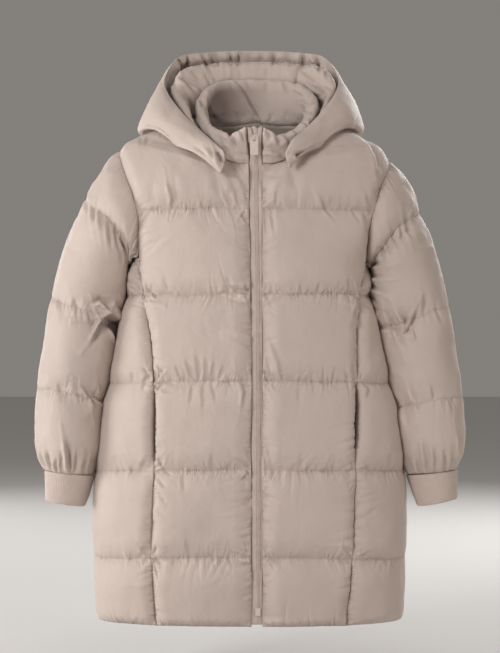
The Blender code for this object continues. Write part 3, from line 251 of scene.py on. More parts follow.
def torso(x, v, back=False):
    x, v = np.broadcast_arrays(np.asarray(x, float), np.asarray(v, float))
    left, right, zx, front, rear = body(v)
    half = np.where(x < zx, zx - left, right - zx)
    share = np.clip(np.abs(x - zx) / half, 0, 1)
    deep = (1 - share**ROUND) ** (1 / ROUND) * (rear if back else front)
    turn = np.clip((v - SPRING_Z) / YOKE_RISE, 0, 1) * math.pi / 2
    y_low = (1 if back else -1) * deep
    y = SHOULDER_Y + (y_low - SHOULDER_Y) * np.cos(turn)
    y = np.where(v > SPRING_Z, y, y_low)
    z = np.where(v > SPRING_Z, SPRING_Z + (shoulder_z(x, zx) - SPRING_Z) * np.sin(turn), v)
    return np.stack([x, y, z], -1)


def pattern_height(x, z):
    zx = body(z)[2]
    s = np.clip((z - SPRING_Z) / (shoulder_z(x, zx) - SPRING_Z), 0, 1)
    return np.where(z > SPRING_Z, SPRING_Z + YOKE_RISE * np.arcsin(s) * 2 / math.pi, z)


def arm_curve(side):
    arm = ARM_L if side == "l" else ARM_R
    pts = np.stack([arm[:, 0], pattern_height(arm[:, 0], arm[:, 1])], -1)
    return np.vstack([pts, [SHOULDER_TIP[side], SPRING_Z + YOKE_RISE]])


def quilt_height(row, x):
    zc, zs = row
    left, right, zx, _, _ = body(zc)
    half = np.where(x < zx, zx - left, right - zx)
    return zc + (zs - zc) * np.clip(np.abs(x - zx) / half, 0, 1) ** 2


def under_hood(p):
    line = np.interp(np.abs(p[..., 0] - 0.006), HOOD_REST[:, 0], HOOD_REST[:, 1])
    return np.clip((p[..., 2] - line) / 0.020, 0, 1)


def princess_x(side, z):
    return hermite(PRINCESS[:, 0], PRINCESS[:, 1 if side == "l" else 2], z)


def side_x(side, z):
    left, right, _, _, _ = body(np.asarray(z, float))
    return left if side == "l" else right


def zip_edge(side, z):
    zx = body(z)[2]
    wide = hermite([-0.816, -0.25, -0.05], [0.0118, 0.0122, 0.0125] if side == "l" else [0.0066, 0.0074, 0.0105], z)
    return zx - wide if side == "l" else zx + wide


def yoke_polyline(points, share):
    points = np.asarray(points, float)
    step = np.r_[0, np.cumsum(np.linalg.norm(np.diff(points, axis=0), axis=1))]
    return np.array([np.interp(share * step[-1], step, points[:, k]) for k in range(2)])


def armhole(side, n):
    arm = arm_curve(side)
    u = UNDERARM[side]
    front = torso(*along(arm[::-1], np.linspace(0, 1, 60)).T)
    back = torso(*along(arm, np.linspace(0, 1, 60)).T, back=True)
    pts = np.vstack([front, np.array([[u[0], 0.0, u[1]]]), back[:-1]])
    loop = np.vstack([pts, pts[:1]])
    length = np.r_[0, np.cumsum(np.linalg.norm(np.diff(loop, axis=0), axis=1))]
    under = length[len(front)]
    half = n // 2
    want = np.r_[np.linspace(0, under, half + 1)[:-1], np.linspace(under, length[-1], half + 1)[:-1]]
    return np.stack([np.interp(want, length, loop[:, k]) for k in range(3)], -1)


def near_armhole(side, p, reach=0.030):
    hole = armhole(side, 72)
    flat = p.reshape(-1, 3)
    far = np.full(len(flat), 9.0)
    for q in hole:
        far = np.minimum(far, np.linalg.norm(flat - q, axis=1))
    return crown(far.reshape(p.shape[:-1]), reach, 0.6), far.reshape(p.shape[:-1])


def clear_of_body(side, p, keep, fat=0.0060):
    x, y, z = p[..., 0], p[..., 1], p[..., 2]
    left, right, zx, front, rear = body(z)
    limit = UNDERARM[side][1] + 0.004 + 0.008 * np.clip(np.abs(y) / 0.055, 0, 1.2) ** 2
    low = np.clip((limit - z) / 0.030, 0, 1)
    swell = 0.0012 + fat * np.sqrt(1 - (1 - low) ** 2)
    half = (zx - left if side == "l" else right - zx) + swell
    deep = np.where(y > 0, rear, front) + swell
    edge = half * np.clip(1 - (np.abs(y) / deep) ** ROUND, 0, 1) ** (1 / ROUND) + keep
    far = zx - edge if side == "l" else zx + edge
    out = p.copy()
    moved = np.minimum(x, far) if side == "l" else np.maximum(x, far)
    out[..., 0] = np.where(z < limit, moved, x)
    return out


CLOTH = {}


def body_reach(side):
    """How far from the middle the body's settled cloth reaches beside a sleeve, on a grid of y and z."""
    pts = np.concatenate([CLOTH["side_" + side].reshape(-1, 3), CLOTH["back"].reshape(-1, 3)])
    sgn = -1 if side == "l" else 1
    far = (pts[:, 0] - 0.006) * sgn
    pts, far = pts[far > 0.1], far[far > 0.1]
    iy = np.clip(((pts[:, 1] + 0.160) / 0.004).astype(int), 0, 84)
    iz = np.clip(((pts[:, 2] + 0.840) / 0.004).astype(int), 0, 179)
    grid = np.full((85, 180), 0.0)
    np.maximum.at(grid, (iy, iz), far)
    wide = np.pad(grid, 1, mode="edge")
    near = np.max([wide[a:a + 85, b:b + 180] for a in range(3) for b in range(3)], axis=0)
    return np.where(grid > 0, grid, near)


def clear_of_cloth(side, p, grid, keep=0.0):
    """Push a sleeve's points out until they only touch the body's cloth."""
    sgn = -1 if side == "l" else 1
    x, y, z = p[..., 0], p[..., 1], p[..., 2]
    fy = np.clip((y + 0.160) / 0.004 - 0.5, 0, 83.99)
    fz = np.clip((z + 0.840) / 0.004 - 0.5, 0, 178.99)
    iy, iz = fy.astype(int), fz.astype(int)
    a, b = fy - iy, fz - iz
    reach = (grid[iy, iz] * (1 - a) * (1 - b) + grid[iy + 1, iz] * a * (1 - b)
             + grid[iy, iz + 1] * (1 - a) * b + grid[iy + 1, iz + 1] * a * b)
    limit = UNDERARM[side][1] + 0.002 + 0.008 * np.clip(np.abs(y) / 0.055, 0, 1.2) ** 2
    low = np.clip((limit - z) / 0.014, 0, 1)
    far = (x - 0.006) * sgn
    gap = far - reach - keep
    t = np.clip((gap - 0.004) / 0.008, 0, 1)
    cling = np.where((gap > 0) & (np.abs(y) < 0.06), gap * (1 - t * t * (3 - 2 * t)), 0.0)
    cling = cling * np.clip((z - limit + 0.060) / 0.030, 0, 1) * np.clip((y + 0.020) / 0.012, 0, 1)
    push = (np.maximum(-gap, 0) - cling) * low
    out = p.copy()
    out[..., 0] = x + push * sgn
    return out


# ------------------------------------------------------------------ settling cloth
def relax(target, normal, free, eu, ev, kick, low, ring_u=False, ring_v=False,
          steps=130, hold=0.012, slide=0.012, bend=0.05, most=0.007):
    """Cloth that is longer than its target by the shares eu and ev, settled near the target.

    free is 0 on a stitched line and 1 elsewhere, kick the small starting waves and low
    how far a point may sink below the target.
    """
    T = target.astype(np.float32)
    N = normal.astype(np.float32)
    w = free.astype(np.float32)
    X = T + N * (kick * free)[..., None].astype(np.float32)
    nu, nv = T.shape[:2]
    Eu = (0.5 * (eu + np.roll(eu, -1, 0)) + 1).astype(np.float32)[..., None]
    Ev = (0.5 * (ev + np.roll(ev, -1, 1)) + 1).astype(np.float32)[..., None]
    du, dv = (np.roll(T, -1, 0) - T) * Eu, (np.roll(T, -1, 1) - T) * Ev
    Lu, Lv = np.linalg.norm(du, axis=-1), np.linalg.norm(dv, axis=-1)
    La = np.linalg.norm(du + np.roll(dv, -1, 0), axis=-1)
    Lb = np.linalg.norm(dv - du, axis=-1)
    jobs = []

    def add(a, b, length, k):
        wa, wb = w[a], w[b]
        total = np.maximum(wa + wb, 1e-6)
        jobs.append((a, b, k * wa / total, k * wb / total, length))

    full = slice(None)
    for par in (0, 1):
        a, b = slice(par, nu - 1, 2), slice(par + 1, nu, 2)
        add((a, full), (b, full), Lu[a], 1.0)
        c, d = slice(par, nv - 1, 2), slice(par + 1, nv, 2)
        add((full, c), (full, d), Lv[:, c], 1.0)
        add((a, slice(0, -1)), (b, slice(1, None)), La[a, :-1], 0.35)
        add((b, slice(0, -1)), (a, slice(1, None)), Lb[a, :-1], 0.35)
    if ring_u:
        add((slice(nu - 1, nu), full), (slice(0, 1), full), Lu[nu - 1:nu], 1.0)
        add((slice(nu - 1, nu), slice(0, -1)), (slice(0, 1), slice(1, None)), La[nu - 1:nu, :-1], 0.35)
        add((slice(0, 1), slice(0, -1)), (slice(nu - 1, nu), slice(1, None)), Lb[nu - 1:nu, :-1], 0.35)
    if ring_v:
        add((full, slice(nv - 1, nv)), (full, slice(0, 1)), Lv[:, nv - 1:nv], 1.0)
    low = low.astype(np.float32)
    w3 = w[..., None]
    for _ in range(steps):
        for a, b, fa, fb, length in jobs:
            P, Q = X[a], X[b]
            d = Q - P
            s = 1 - length / (np.sqrt(np.einsum("ijk,ijk->ij", d, d)) + 1e-9)
            P += d * (s * fa)[..., None]
            Q -= d * (s * fb)[..., None]
        D = X - T
        lap = np.zeros_like(D)
        if ring_u:
            lap += np.roll(D, 1, 0) + np.roll(D, -1, 0) - 2 * D
        else:
            lap[1:-1] += D[2:] + D[:-2] - 2 * D[1:-1]
        if ring_v:
            lap += np.roll(D, 1, 1) + np.roll(D, -1, 1) - 2 * D
        else:
            lap[:, 1:-1] += D[:, 2:] + D[:, :-2] - 2 * D[:, 1:-1]
        D += lap * (bend * 0.5)
        dn = np.einsum("ijk,ijk->ij", D, N)
        D -= N * dn[..., None]
        D *= 1 - slide
        dn = np.clip(dn * (1 - hold), -low, most)
        X = T + (D + N * dn[..., None]) * w3
    return X.astype(float)


def ripple(s, d, cell, seed, wave=0.016):
    """Starting waves that run away from a seam: s along it, d away from it."""
    s = s + 0.4 * d * noise2(s / 0.045, cell * 9.1, seed + 5)
    return (0.6 * noise2(s / wave, d / 0.10 + cell * 13.7, seed)
            + 0.4 * noise2(s / (wave * 2.1), d / 0.14 + cell * 7.3, seed + 1))


def patch(s, cell, seed, size=0.060):
    """Share of the gathering at s: it comes in bunches."""
    return np.clip(0.50 + 1.1 * noise2(s / size, cell * 5.7, seed), 0.08, 1.5)


def gathers(s, d, cell, seed, wave=0.017, reach=0.022):
    """Heights of gathers beside a seam: s along it, d away from it. Round on top, sharper in the
    troughs, each of its own length, leaning and splitting a little."""
    s = s + 0.75 * d * noise2(s / 0.040, cell * 9.1, seed + 5)
    a = noise2(s / wave, d / 0.11 + cell * 13.7, seed)
    b = noise2(s / (wave * 0.47), d / 0.040 + cell * 7.3, seed + 1)
    far = reach * (0.30 + 1.5 * np.clip(0.42 + 1.0 * noise2(s / (wave * 1.3), cell * 3.9, seed + 2), 0, 1))
    shape = 1.45 * np.abs(a) ** 0.8 - 0.52
    return (shape * np.exp(-(d / far) ** 1.3) + 0.40 * b * np.exp(-d / 0.010)) * np.clip(0.25 + d / 0.0035, 0, 1)


# ------------------------------------------------------------------ listed folds
def seen(p):
    """Where the viewer sees a point: right of the eye line and above it, as if at the side seams."""
    f = -EYE[1] / (p[..., 1] - EYE[1])
    return np.stack([(p[..., 0] - EYE[0]) * f, (p[..., 2] - EYE[2]) * f], -1)


def on_sheet(u, v):
    """A point of the drawing grid, 1.75 mm squares counted right and down, in metres from the eye's axis."""
    return ((u - 250) * 0.00175, (326.5 - v) * 0.00175)


def press(p, n, folds, turn=0.0, wide=1.0):
    """Height change of all folds at grid p with normals n. A fold is (points on the drawing grid,
    depth mm, width mm, lean): a trough along the line, with a ridge on its right if lean > 0 and
    on its left if lean < 0. Only cloth that faces the front takes them."""
    q = seen(p)
    q = q + 0.0016 * np.stack([noise(p, 0.022, 71), noise(p, 0.022, 72)], -1)
    out = np.zeros(p.shape[:2])
    for line, depth, width, lean in folds:
        depth, width = depth * 0.001, width * 0.00122 * wide
        line = np.array([on_sheet(*c) for c in line], float)
        seg = np.linalg.norm(np.diff(line, axis=0), axis=1)
        total = seg.sum()
        best = np.full(p.shape[:2], 9.0)
        side = np.zeros(p.shape[:2])
        at = np.zeros(p.shape[:2])
        run = 0.0
        for k in range(len(line) - 1):
            e = line[k + 1] - line[k]
            r = q - line[k]
            t = np.clip((r @ e) / (e @ e), 0, 1)
            g = r - t[..., None] * e
            d = np.linalg.norm(g, axis=-1)
            cross = (e[0] * r[..., 1] - e[1] * r[..., 0]) / seg[k]
            hit = d < best
            best = np.where(hit, d, best)
            side = np.where(hit, -cross, side)
            at = np.where(hit, run + t * seg[k], at)
            run += seg[k]
        end = np.clip(0.12 + np.minimum(at, total - at) / (0.35 * total), 0, 1) ** 0.7
        over = side * np.sign(lean)
        sharp = np.where(over > 0, np.exp(-(best / (0.62 * width)) ** 1.6), np.exp(-(best / (1.5 * width)) ** 1.25))
        a = min(abs(lean), 1.0)
        trough = -(1 - a) * np.exp(-(best / width) ** 1.6) - a * sharp
        crest = np.exp(-((over - 1.35 * width) / (0.85 * width)) ** 2)
        tail = np.clip((over - 0.5 * width) / width, 0, 1) * np.exp(-np.maximum(over, 0) / (2.8 * width))
        ridge = a * (0.55 * crest + 0.45 * tail) * (best < 7 * width)
        out += depth * end * (trough + ridge)
    return out * np.clip(turn - n[..., 1] * 2.5, 0, 1)


# ------------------------------------------------------------------ meshes
def make_object(name, verts, faces, mat, uv=None, marks=None, smooth=True):
    me = bpy.data.meshes.new(name)
    me.from_pydata(np.asarray(verts, float).tolist(), [], faces)
    me.update()
    ob = bpy.data.objects.new(name, me)
    bpy.context.scene.collection.objects.link(ob)
    me.materials.append(mat)
    co = np.asarray(verts, float)
    tri = np.zeros((len(me.loop_triangles), 3), int) if False else None
    me.calc_loop_triangles()
    tri = np.zeros(len(me.loop_triangles) * 3, np.int32)
    me.loop_triangles.foreach_get("vertices", tri)
    tri = tri.reshape(-1, 3)
    vol = np.einsum("ij,ij->i", co[tri[:, 0]], np.cross(co[tri[:, 1]], co[tri[:, 2]])).sum()
    if vol < 0:
        me.flip_normals()
    if smooth:
        me.shade_smooth()
    if uv is not None:
        layer = me.uv_layers.new(name="cloth")
        idx = np.zeros(len(me.loops), np.int32)
        me.loops.foreach_get("vertex_index", idx)
        layer.data.foreach_set("uv", np.asarray(uv, np.float32)[idx].ravel())
    for key, values in (marks or {}).items():
        a = me.attributes.new(key, "FLOAT", "POINT")
        a.data.foreach_set("value", np.asarray(values, np.float32).ravel())
    return ob


def sampled(n, step):
    """About every step-th index from 0 to n - 1, both ends kept."""
    k = max(2, int(round((n - 1) / step)) + 1)
    return np.unique(np.round(np.linspace(0, n - 1, k)).astype(int))


def strip_faces(fine, idx, coarse, flip):
    """Triangles between a fine border and a coarse one that starts at the same places."""
    out = []
    for k in range(len(idx) - 1):
        a, b = idx[k], idx[k + 1]
        mid = (a + b) // 2
        for i in range(a, b):
            c = coarse[k] if i < mid else coarse[k + 1]
            out.append((fine[i], fine[i + 1], c))
        out.append((coarse[k], fine[mid], coarse[k + 1]) if mid > a or True else None)
    return [(t[0], t[2], t[1]) if flip else t for t in out]


def closed_wall(name, outer, inner, mat, ring=False, step=3, uv=None, marks=None):
    """Padded wall: the cloth grid outside, a coarser lining grid inside, sewn together all round."""
    nu, nv = outer.shape[:2]
    iu = sampled(nu, step) if not ring else np.arange(0, nu, step)
    iv = sampled(nv, step)
    lining = inner[np.ix_(iu, iv)]
    mu, mv = len(iu), len(iv)
    verts = np.concatenate([outer.reshape(-1, 3), lining.reshape(-1, 3)])
    off = nu * nv
    faces = []
    cols = nu if ring else nu - 1
    for i in range(cols):
        k = (i + 1) % nu
        for j in range(nv - 1):
            faces.append((i * nv + j, k * nv + j, k * nv + j + 1, i * nv + j + 1))
    mcols = mu if ring else mu - 1
    for i in range(mcols):
        k = (i + 1) % mu
        for j in range(mv - 1):
            faces.append((off + i * mv + j, off + i * mv + j + 1, off + k * mv + j + 1, off + k * mv + j))
    # the two ends along the first axis
    for j, jj, flip in ((0, 0, True), (nv - 1, mv - 1, False)):
        fine = [i * nv + j for i in range(nu)] + ([j] if ring else [])
        coarse = [off + i * mv + jj for i in range(mu)] + ([off + jj] if ring else [])
        idx = list(iu) + ([nu] if ring else [])
        faces += strip_faces(fine, idx, coarse, flip)
    if not ring:
        for i, ii, flip in ((0, 0, False), (nu - 1, mu - 1, True)):
            fine = [i * nv + j for j in range(nv)]
            coarse = [off + ii * mv + j for j in range(mv)]
            faces += strip_faces(fine, list(iv), coarse, flip)
    pick = np.ix_(iu, iv)
    if uv is not None:
        uv = np.concatenate([uv.reshape(-1, 2), uv[pick].reshape(-1, 2)])
    if marks:
        marks = {k: np.concatenate([v.ravel(), np.full(mu * mv, v.max())]) for k, v in marks.items()}
    return make_object(name, verts, faces, mat, uv, marks)


def loop_wall(name, p, mat, uv=None, marks=None):
    """Closed body swept through loops: first axis along, second axis round. Both ends are capped."""
    nu, nv = p.shape[:2]
    faces = []
    for i in range(nu - 1):
        for j in range(nv):
            k = (j + 1) % nv
            faces.append((i * nv + j, (i + 1) * nv + j, (i + 1) * nv + k, i * nv + k))
    for i, flip in ((0, False), (nu - 1, True)):
        base = i * nv
        a, b = 0, nv - 1
        while b - a > 2:
            quad = (base + a, base + a + 1, base + b - 1, base + b)
            faces.append(quad[::-1] if flip else quad)
            a, b = a + 1, b - 1
        if b - a == 2:
            tri = (base + a, base + a + 1, base + b)
            faces.append(tri[::-1] if flip else tri)
    return make_object(name, p.reshape(-1, 3), faces, mat,
                       None if uv is None else uv.reshape(-1, 2), marks)


# ------------------------------------------------------------------ materials
def new_material(name):
    m = bpy.data.materials.new(name)
    m.use_nodes = True
    nt = m.node_tree
    return m, nt, nt.nodes["Principled BSDF"]


def node(nt, kind, **values):
    n = nt.nodes.new(kind)
    for k, v in values.items():
        if hasattr(n, k):
            setattr(n, k, v)
        else:
            n.inputs[k].default_value = v
    return n


def scaled_uv(nt, scale):
    tc = node(nt, "ShaderNodeTexCoord")
    mp = node(nt, "ShaderNodeMapping")
    mp.inputs["Scale"].default_value = scale
    nt.links.new(tc.outputs["UV"], mp.inputs["Vector"])
    return mp.outputs["Vector"]


def object_points(nt):
    return node(nt, "ShaderNodeTexCoord").outputs["Object"]


def maths(nt, op, a, b=None):
    n = node(nt, "ShaderNodeMath", operation=op)
    for k, v in ((0, a), (1, b)):
        if v is None:
            continue
        if isinstance(v, (int, float)):
            n.inputs[k].default_value = v
        else:
            nt.links.new(v, n.inputs[k])
    return n.outputs[0]


def ramp(nt, fac, stops):
    r = node(nt, "ShaderNodeValToRGB")
    el = r.color_ramp.elements
    while len(el) < len(stops):
        el.new(0.5)
    for e, (pos, col) in zip(el, stops):
        e.position = pos
        e.color = (*col, 1) if len(col) == 3 else col
    nt.links.new(fac, r.inputs["Fac"])
    return r.outputs["Color"]


def mixed(nt, mode, fac, a, b):
    m = node(nt, "ShaderNodeMix", data_type="RGBA", blend_type=mode)
    for sock, v in ((m.inputs["Factor"], fac), (m.inputs["A"], a), (m.inputs["B"], b)):
        if isinstance(v, (int, float)):
            sock.default_value = v
        elif isinstance(v, tuple):
            sock.default_value = (*v, 1)
        else:
            nt.links.new(v, sock)
    return m.outputs["Result"]


SHELL = (0.475, 0.389, 0.343)


def shell_material(name="shell_cloth", colour=SHELL, rough=0.60):
    """Fine plain-weave polyester, softly shiny, a little uneven in tone, with a stitched line on its seams. Painted
    shade darkens it beside its seams and wherever the deep mark is set.
    """
    m, nt, b = new_material(name)
    at = object_points(nt)
    clouds = node(nt, "ShaderNodeTexNoise", Scale=7.0, Detail=3.0, Roughness=0.55)
    nt.links.new(at, clouds.inputs["Vector"])
    tone = ramp(nt, clouds.outputs["Fac"], [(0.30, tuple(c * 0.955 for c in colour)), (0.70, tuple(min(c * 1.04, 1) for c in colour))])
    # painted shade: the cloth is darker within a few mm of every seam, as in the shadow of its groove
    seam = node(nt, "ShaderNodeAttribute", attribute_name="seam").outputs["Fac"]
    painted_shade = ramp(nt, maths(nt, "DIVIDE", seam, 0.010),
                 [(0.0, (0.86, 0.845, 0.835)), (0.09, (0.93, 0.925, 0.92)), (0.30, (0.985, 0.98, 0.98)), (0.8, (1, 1, 1))])
    tone = mixed(nt, "MULTIPLY", 1.0, tone, painted_shade)
    # painted shade: where the deep mark is set (pocket slits, the collar's inside, the tucks of hood and collar) the
    # cloth is mixed toward a dark brown
    deep = node(nt, "ShaderNodeAttribute", attribute_name="deep").outputs["Fac"]
    tone = mixed(nt, "MIX", maths(nt, "MULTIPLY", deep, 0.95), tone, (colour[0] * 0.20, colour[1] * 0.16, colour[2] * 0.148))
    run = node(nt, "ShaderNodeAttribute", attribute_name="run").outputs["Fac"]
    dash = maths(nt, "GREATER_THAN", maths(nt, "FRACT", maths(nt, "DIVIDE", run, 0.0034)), 0.30)
    thread = maths(nt, "MULTIPLY", dash, maths(nt, "LESS_THAN", seam, 0.00055))
    tone = mixed(nt, "MIX", maths(nt, "MULTIPLY", thread, 0.35), tone, tuple(c * 0.95 for c in colour))
    nt.links.new(tone, b.inputs["Base Color"])
    b.inputs["Specular IOR Level"].default_value = 0.32
    b.inputs["Sheen Weight"].default_value = 0.18
    b.inputs["Sheen Roughness"].default_value = 0.45
    b.inputs["Sheen Tint"].default_value = (1.0, 0.98, 0.96, 1)
    grain = node(nt, "ShaderNodeTexNoise", Scale=900.0, Detail=2.0)
    nt.links.new(at, grain.inputs["Vector"])
    r = maths(nt, "ADD", maths(nt, "MULTIPLY", clouds.outputs["Fac"], 0.10), rough - 0.05)
    nt.links.new(r, b.inputs["Roughness"])
    weave_u = node(nt, "ShaderNodeTexWave", wave_type="BANDS", bands_direction="X", Scale=330.0)
    weave_v = node(nt, "ShaderNodeTexWave", wave_type="BANDS", bands_direction="Y", Scale=330.0)
    uv = scaled_uv(nt, (1, 1, 1))
    nt.links.new(uv, weave_u.inputs["Vector"])
    nt.links.new(uv, weave_v.inputs["Vector"])
    weave = maths(nt, "MULTIPLY", maths(nt, "ADD", weave_u.outputs["Fac"], weave_v.outputs["Fac"]), 0.5)
    crumple = node(nt, "ShaderNodeTexNoise", Scale=75.0, Detail=4.0, Roughness=0.6)
    nt.links.new(at, crumple.inputs["Vector"])
    creased = node(nt, "ShaderNodeTexNoise", Scale=26.0, Detail=3.0, Roughness=0.5, Distortion=0.4)
    nt.links.new(at, creased.inputs["Vector"])
    h = maths(nt, "ADD", maths(nt, "MULTIPLY", weave, 0.06), maths(nt, "MULTIPLY", grain.outputs["Fac"], 0.10))
    h = maths(nt, "ADD", h, maths(nt, "MULTIPLY", maths(nt, "ABSOLUTE", maths(nt, "SUBTRACT", creased.outputs["Fac"], 0.5)), 4.5))
    h = maths(nt, "ADD", h, maths(nt, "MULTIPLY", crumple.outputs["Fac"], 0.9))
    h = maths(nt, "ADD", h, maths(nt, "MULTIPLY", thread, 0.35))
    # small puckers where the cloth is drawn in by the stitching, along rows and along edges
    puckers = []
    for dist, along_it, offset, reach in (("seam", "run", 0.0, 0.014), ("edge", "rise", 7.7, 0.013)):
        d = node(nt, "ShaderNodeAttribute", attribute_name=dist).outputs["Fac"]
        r = node(nt, "ShaderNodeAttribute", attribute_name=along_it).outputs["Fac"]
        for length, deep, size in ((0.0062, 0.014, 0.75), (0.0125, 0.030, 1.0)):
            xyz = node(nt, "ShaderNodeCombineXYZ")
            nt.links.new(maths(nt, "DIVIDE", r, length), xyz.inputs["X"])
            nt.links.new(maths(nt, "ADD", maths(nt, "DIVIDE", d, deep), offset + length * 900), xyz.inputs["Y"])
            tex = node(nt, "ShaderNodeTexNoise", noise_dimensions="2D", Scale=1.0, Detail=1.5, Roughness=0.5)
            nt.links.new(xyz.outputs[0], tex.inputs["Vector"])
            fold = maths(nt, "ABSOLUTE", maths(nt, "SUBTRACT", tex.outputs["Fac"], 0.5))
            fade = maths(nt, "POWER", maths(nt, "MAXIMUM", maths(nt, "SUBTRACT", 1.0, maths(nt, "DIVIDE", d, reach * size * 1.6)), 0.0), 1.5)
            puckers.append(maths(nt, "MULTIPLY", maths(nt, "MULTIPLY", fold, fade), size))
    bunch = node(nt, "ShaderNodeTexNoise", Scale=22.0, Detail=1.0)
    nt.links.new(at, bunch.inputs["Vector"])
    drawn_in = maths(nt, "MULTIPLY", maths(nt, "MAXIMUM", maths(nt, "SUBTRACT", bunch.outputs["Fac"], 0.36), 0.0), 4.5)
    pk = maths(nt, "ADD", maths(nt, "ADD", puckers[0], puckers[1]), maths(nt, "ADD", puckers[2], puckers[3]))
    bump = node(nt, "ShaderNodeBump", Strength=0.45, Distance=0.0010)
    nt.links.new(h, bump.inputs["Height"])
    drawn = node(nt, "ShaderNodeBump", Strength=0.95, Distance=0.0065)
    nt.links.new(maths(nt, "MULTIPLY", pk, maths(nt, "MINIMUM", drawn_in, 1.3)), drawn.inputs["Height"])
    nt.links.new(bump.outputs["Normal"], drawn.inputs["Normal"])
    nt.links.new(drawn.outputs["Normal"], b.inputs["Normal"])
    return m


def rib_material():
    m, nt, b = new_material("rib_cloth")
    colour = (0.560, 0.455, 0.400)
    at = object_points(nt)
    n = node(nt, "ShaderNodeTexNoise", Scale=60.0, Detail=3.0)
    nt.links.new(at, n.inputs["Vector"])
    # painted shade: the grooves between the ribs are coloured up to a fifth darker than the rib tops
    painted_groove_shade = node(nt, "ShaderNodeAttribute", attribute_name="rib").outputs["Fac"]
    tone = ramp(nt, painted_groove_shade, [(0.0, tuple(c * 0.80 for c in colour)), (0.55, tuple(c * 0.96 for c in colour)), (1.0, colour)])
    tone = mixed(nt, "MULTIPLY", 1.0, tone, ramp(nt, n.outputs["Fac"], [(0.3, (0.93, 0.93, 0.93)), (0.7, (1, 1, 1))]))
    nt.links.new(tone, b.inputs["Base Color"])
    b.inputs["Roughness"].default_value = 0.9
    b.inputs["Specular IOR Level"].default_value = 0.2
    b.inputs["Sheen Weight"].default_value = 0.25
    b.inputs["Sheen Roughness"].default_value = 0.6
    loops = node(nt, "ShaderNodeTexWave", wave_type="BANDS", bands_direction="Z", Scale=260.0)
    nt.links.new(at, loops.inputs["Vector"])
    bump = node(nt, "ShaderNodeBump", Strength=0.25, Distance=0.0005)
    nt.links.new(loops.outputs["Fac"], bump.inputs["Height"])
    nt.links.new(bump.outputs["Normal"], b.inputs["Normal"])
    return m


def tape_material(name, colour, pitch, strength=0.4):
    m, nt, b = new_material(name)
    at = object_points(nt)
    n = node(nt, "ShaderNodeTexNoise", Scale=90.0, Detail=2.0)
    nt.links.new(at, n.inputs["Vector"])
    tone = ramp(nt, n.outputs["Fac"], [(0.3, tuple(c * 0.93 for c in colour)), (0.7, tuple(c * 1.05 for c in colour))])
    nt.links.new(tone, b.inputs["Base Color"])
    b.inputs["Roughness"].default_value = 0.68
    b.inputs["Specular IOR Level"].default_value = 0.3
    w = node(nt, "ShaderNodeTexWave", wave_type="BANDS", bands_direction="Z", Scale=pitch)
    nt.links.new(at, w.inputs["Vector"])
    bump = node(nt, "ShaderNodeBump", Strength=strength, Distance=0.0003)
    nt.links.new(w.outputs["Fac"], bump.inputs["Height"])
    nt.links.new(bump.outputs["Normal"], b.inputs["Normal"])
    return m


def paint_material():
    m, nt, b = new_material("painted_metal")
    colour = (0.600, 0.500, 0.440)
    at = object_points(nt)
    n = node(nt, "ShaderNodeTexNoise", Scale=300.0, Detail=3.0)
    nt.links.new(at, n.inputs["Vector"])
    tone = ramp(nt, n.outputs["Fac"], [(0.3, tuple(c * 0.94 for c in colour)), (0.7, colour)])
    nt.links.new(tone, b.inputs["Base Color"])
    b.inputs["Roughness"].default_value = 0.38
    b.inputs["Coat Weight"].default_value = 0.15
    b.inputs["Coat Roughness"].default_value = 0.2
    bump = node(nt, "ShaderNodeBump", Strength=0.15, Distance=0.0002)
    nt.links.new(n.outputs["Fac"], bump.inputs["Height"])
    nt.links.new(bump.outputs["Normal"], b.inputs["Normal"])
    return m


# ------------------------------------------------------------------ quilted panels
def seam_rows(seams, counts, ease=0.4):
    """Row positions between seams, and the row number of each seam."""
    rows, at = [float(seams[0])], [0]
    for a, b, n in zip(seams[:-1], seams[1:], counts):
        rows += list(a + (b - a) * graded(n, ease)[1:])
        at.append(len(rows) - 1)
    return np.array(rows), at


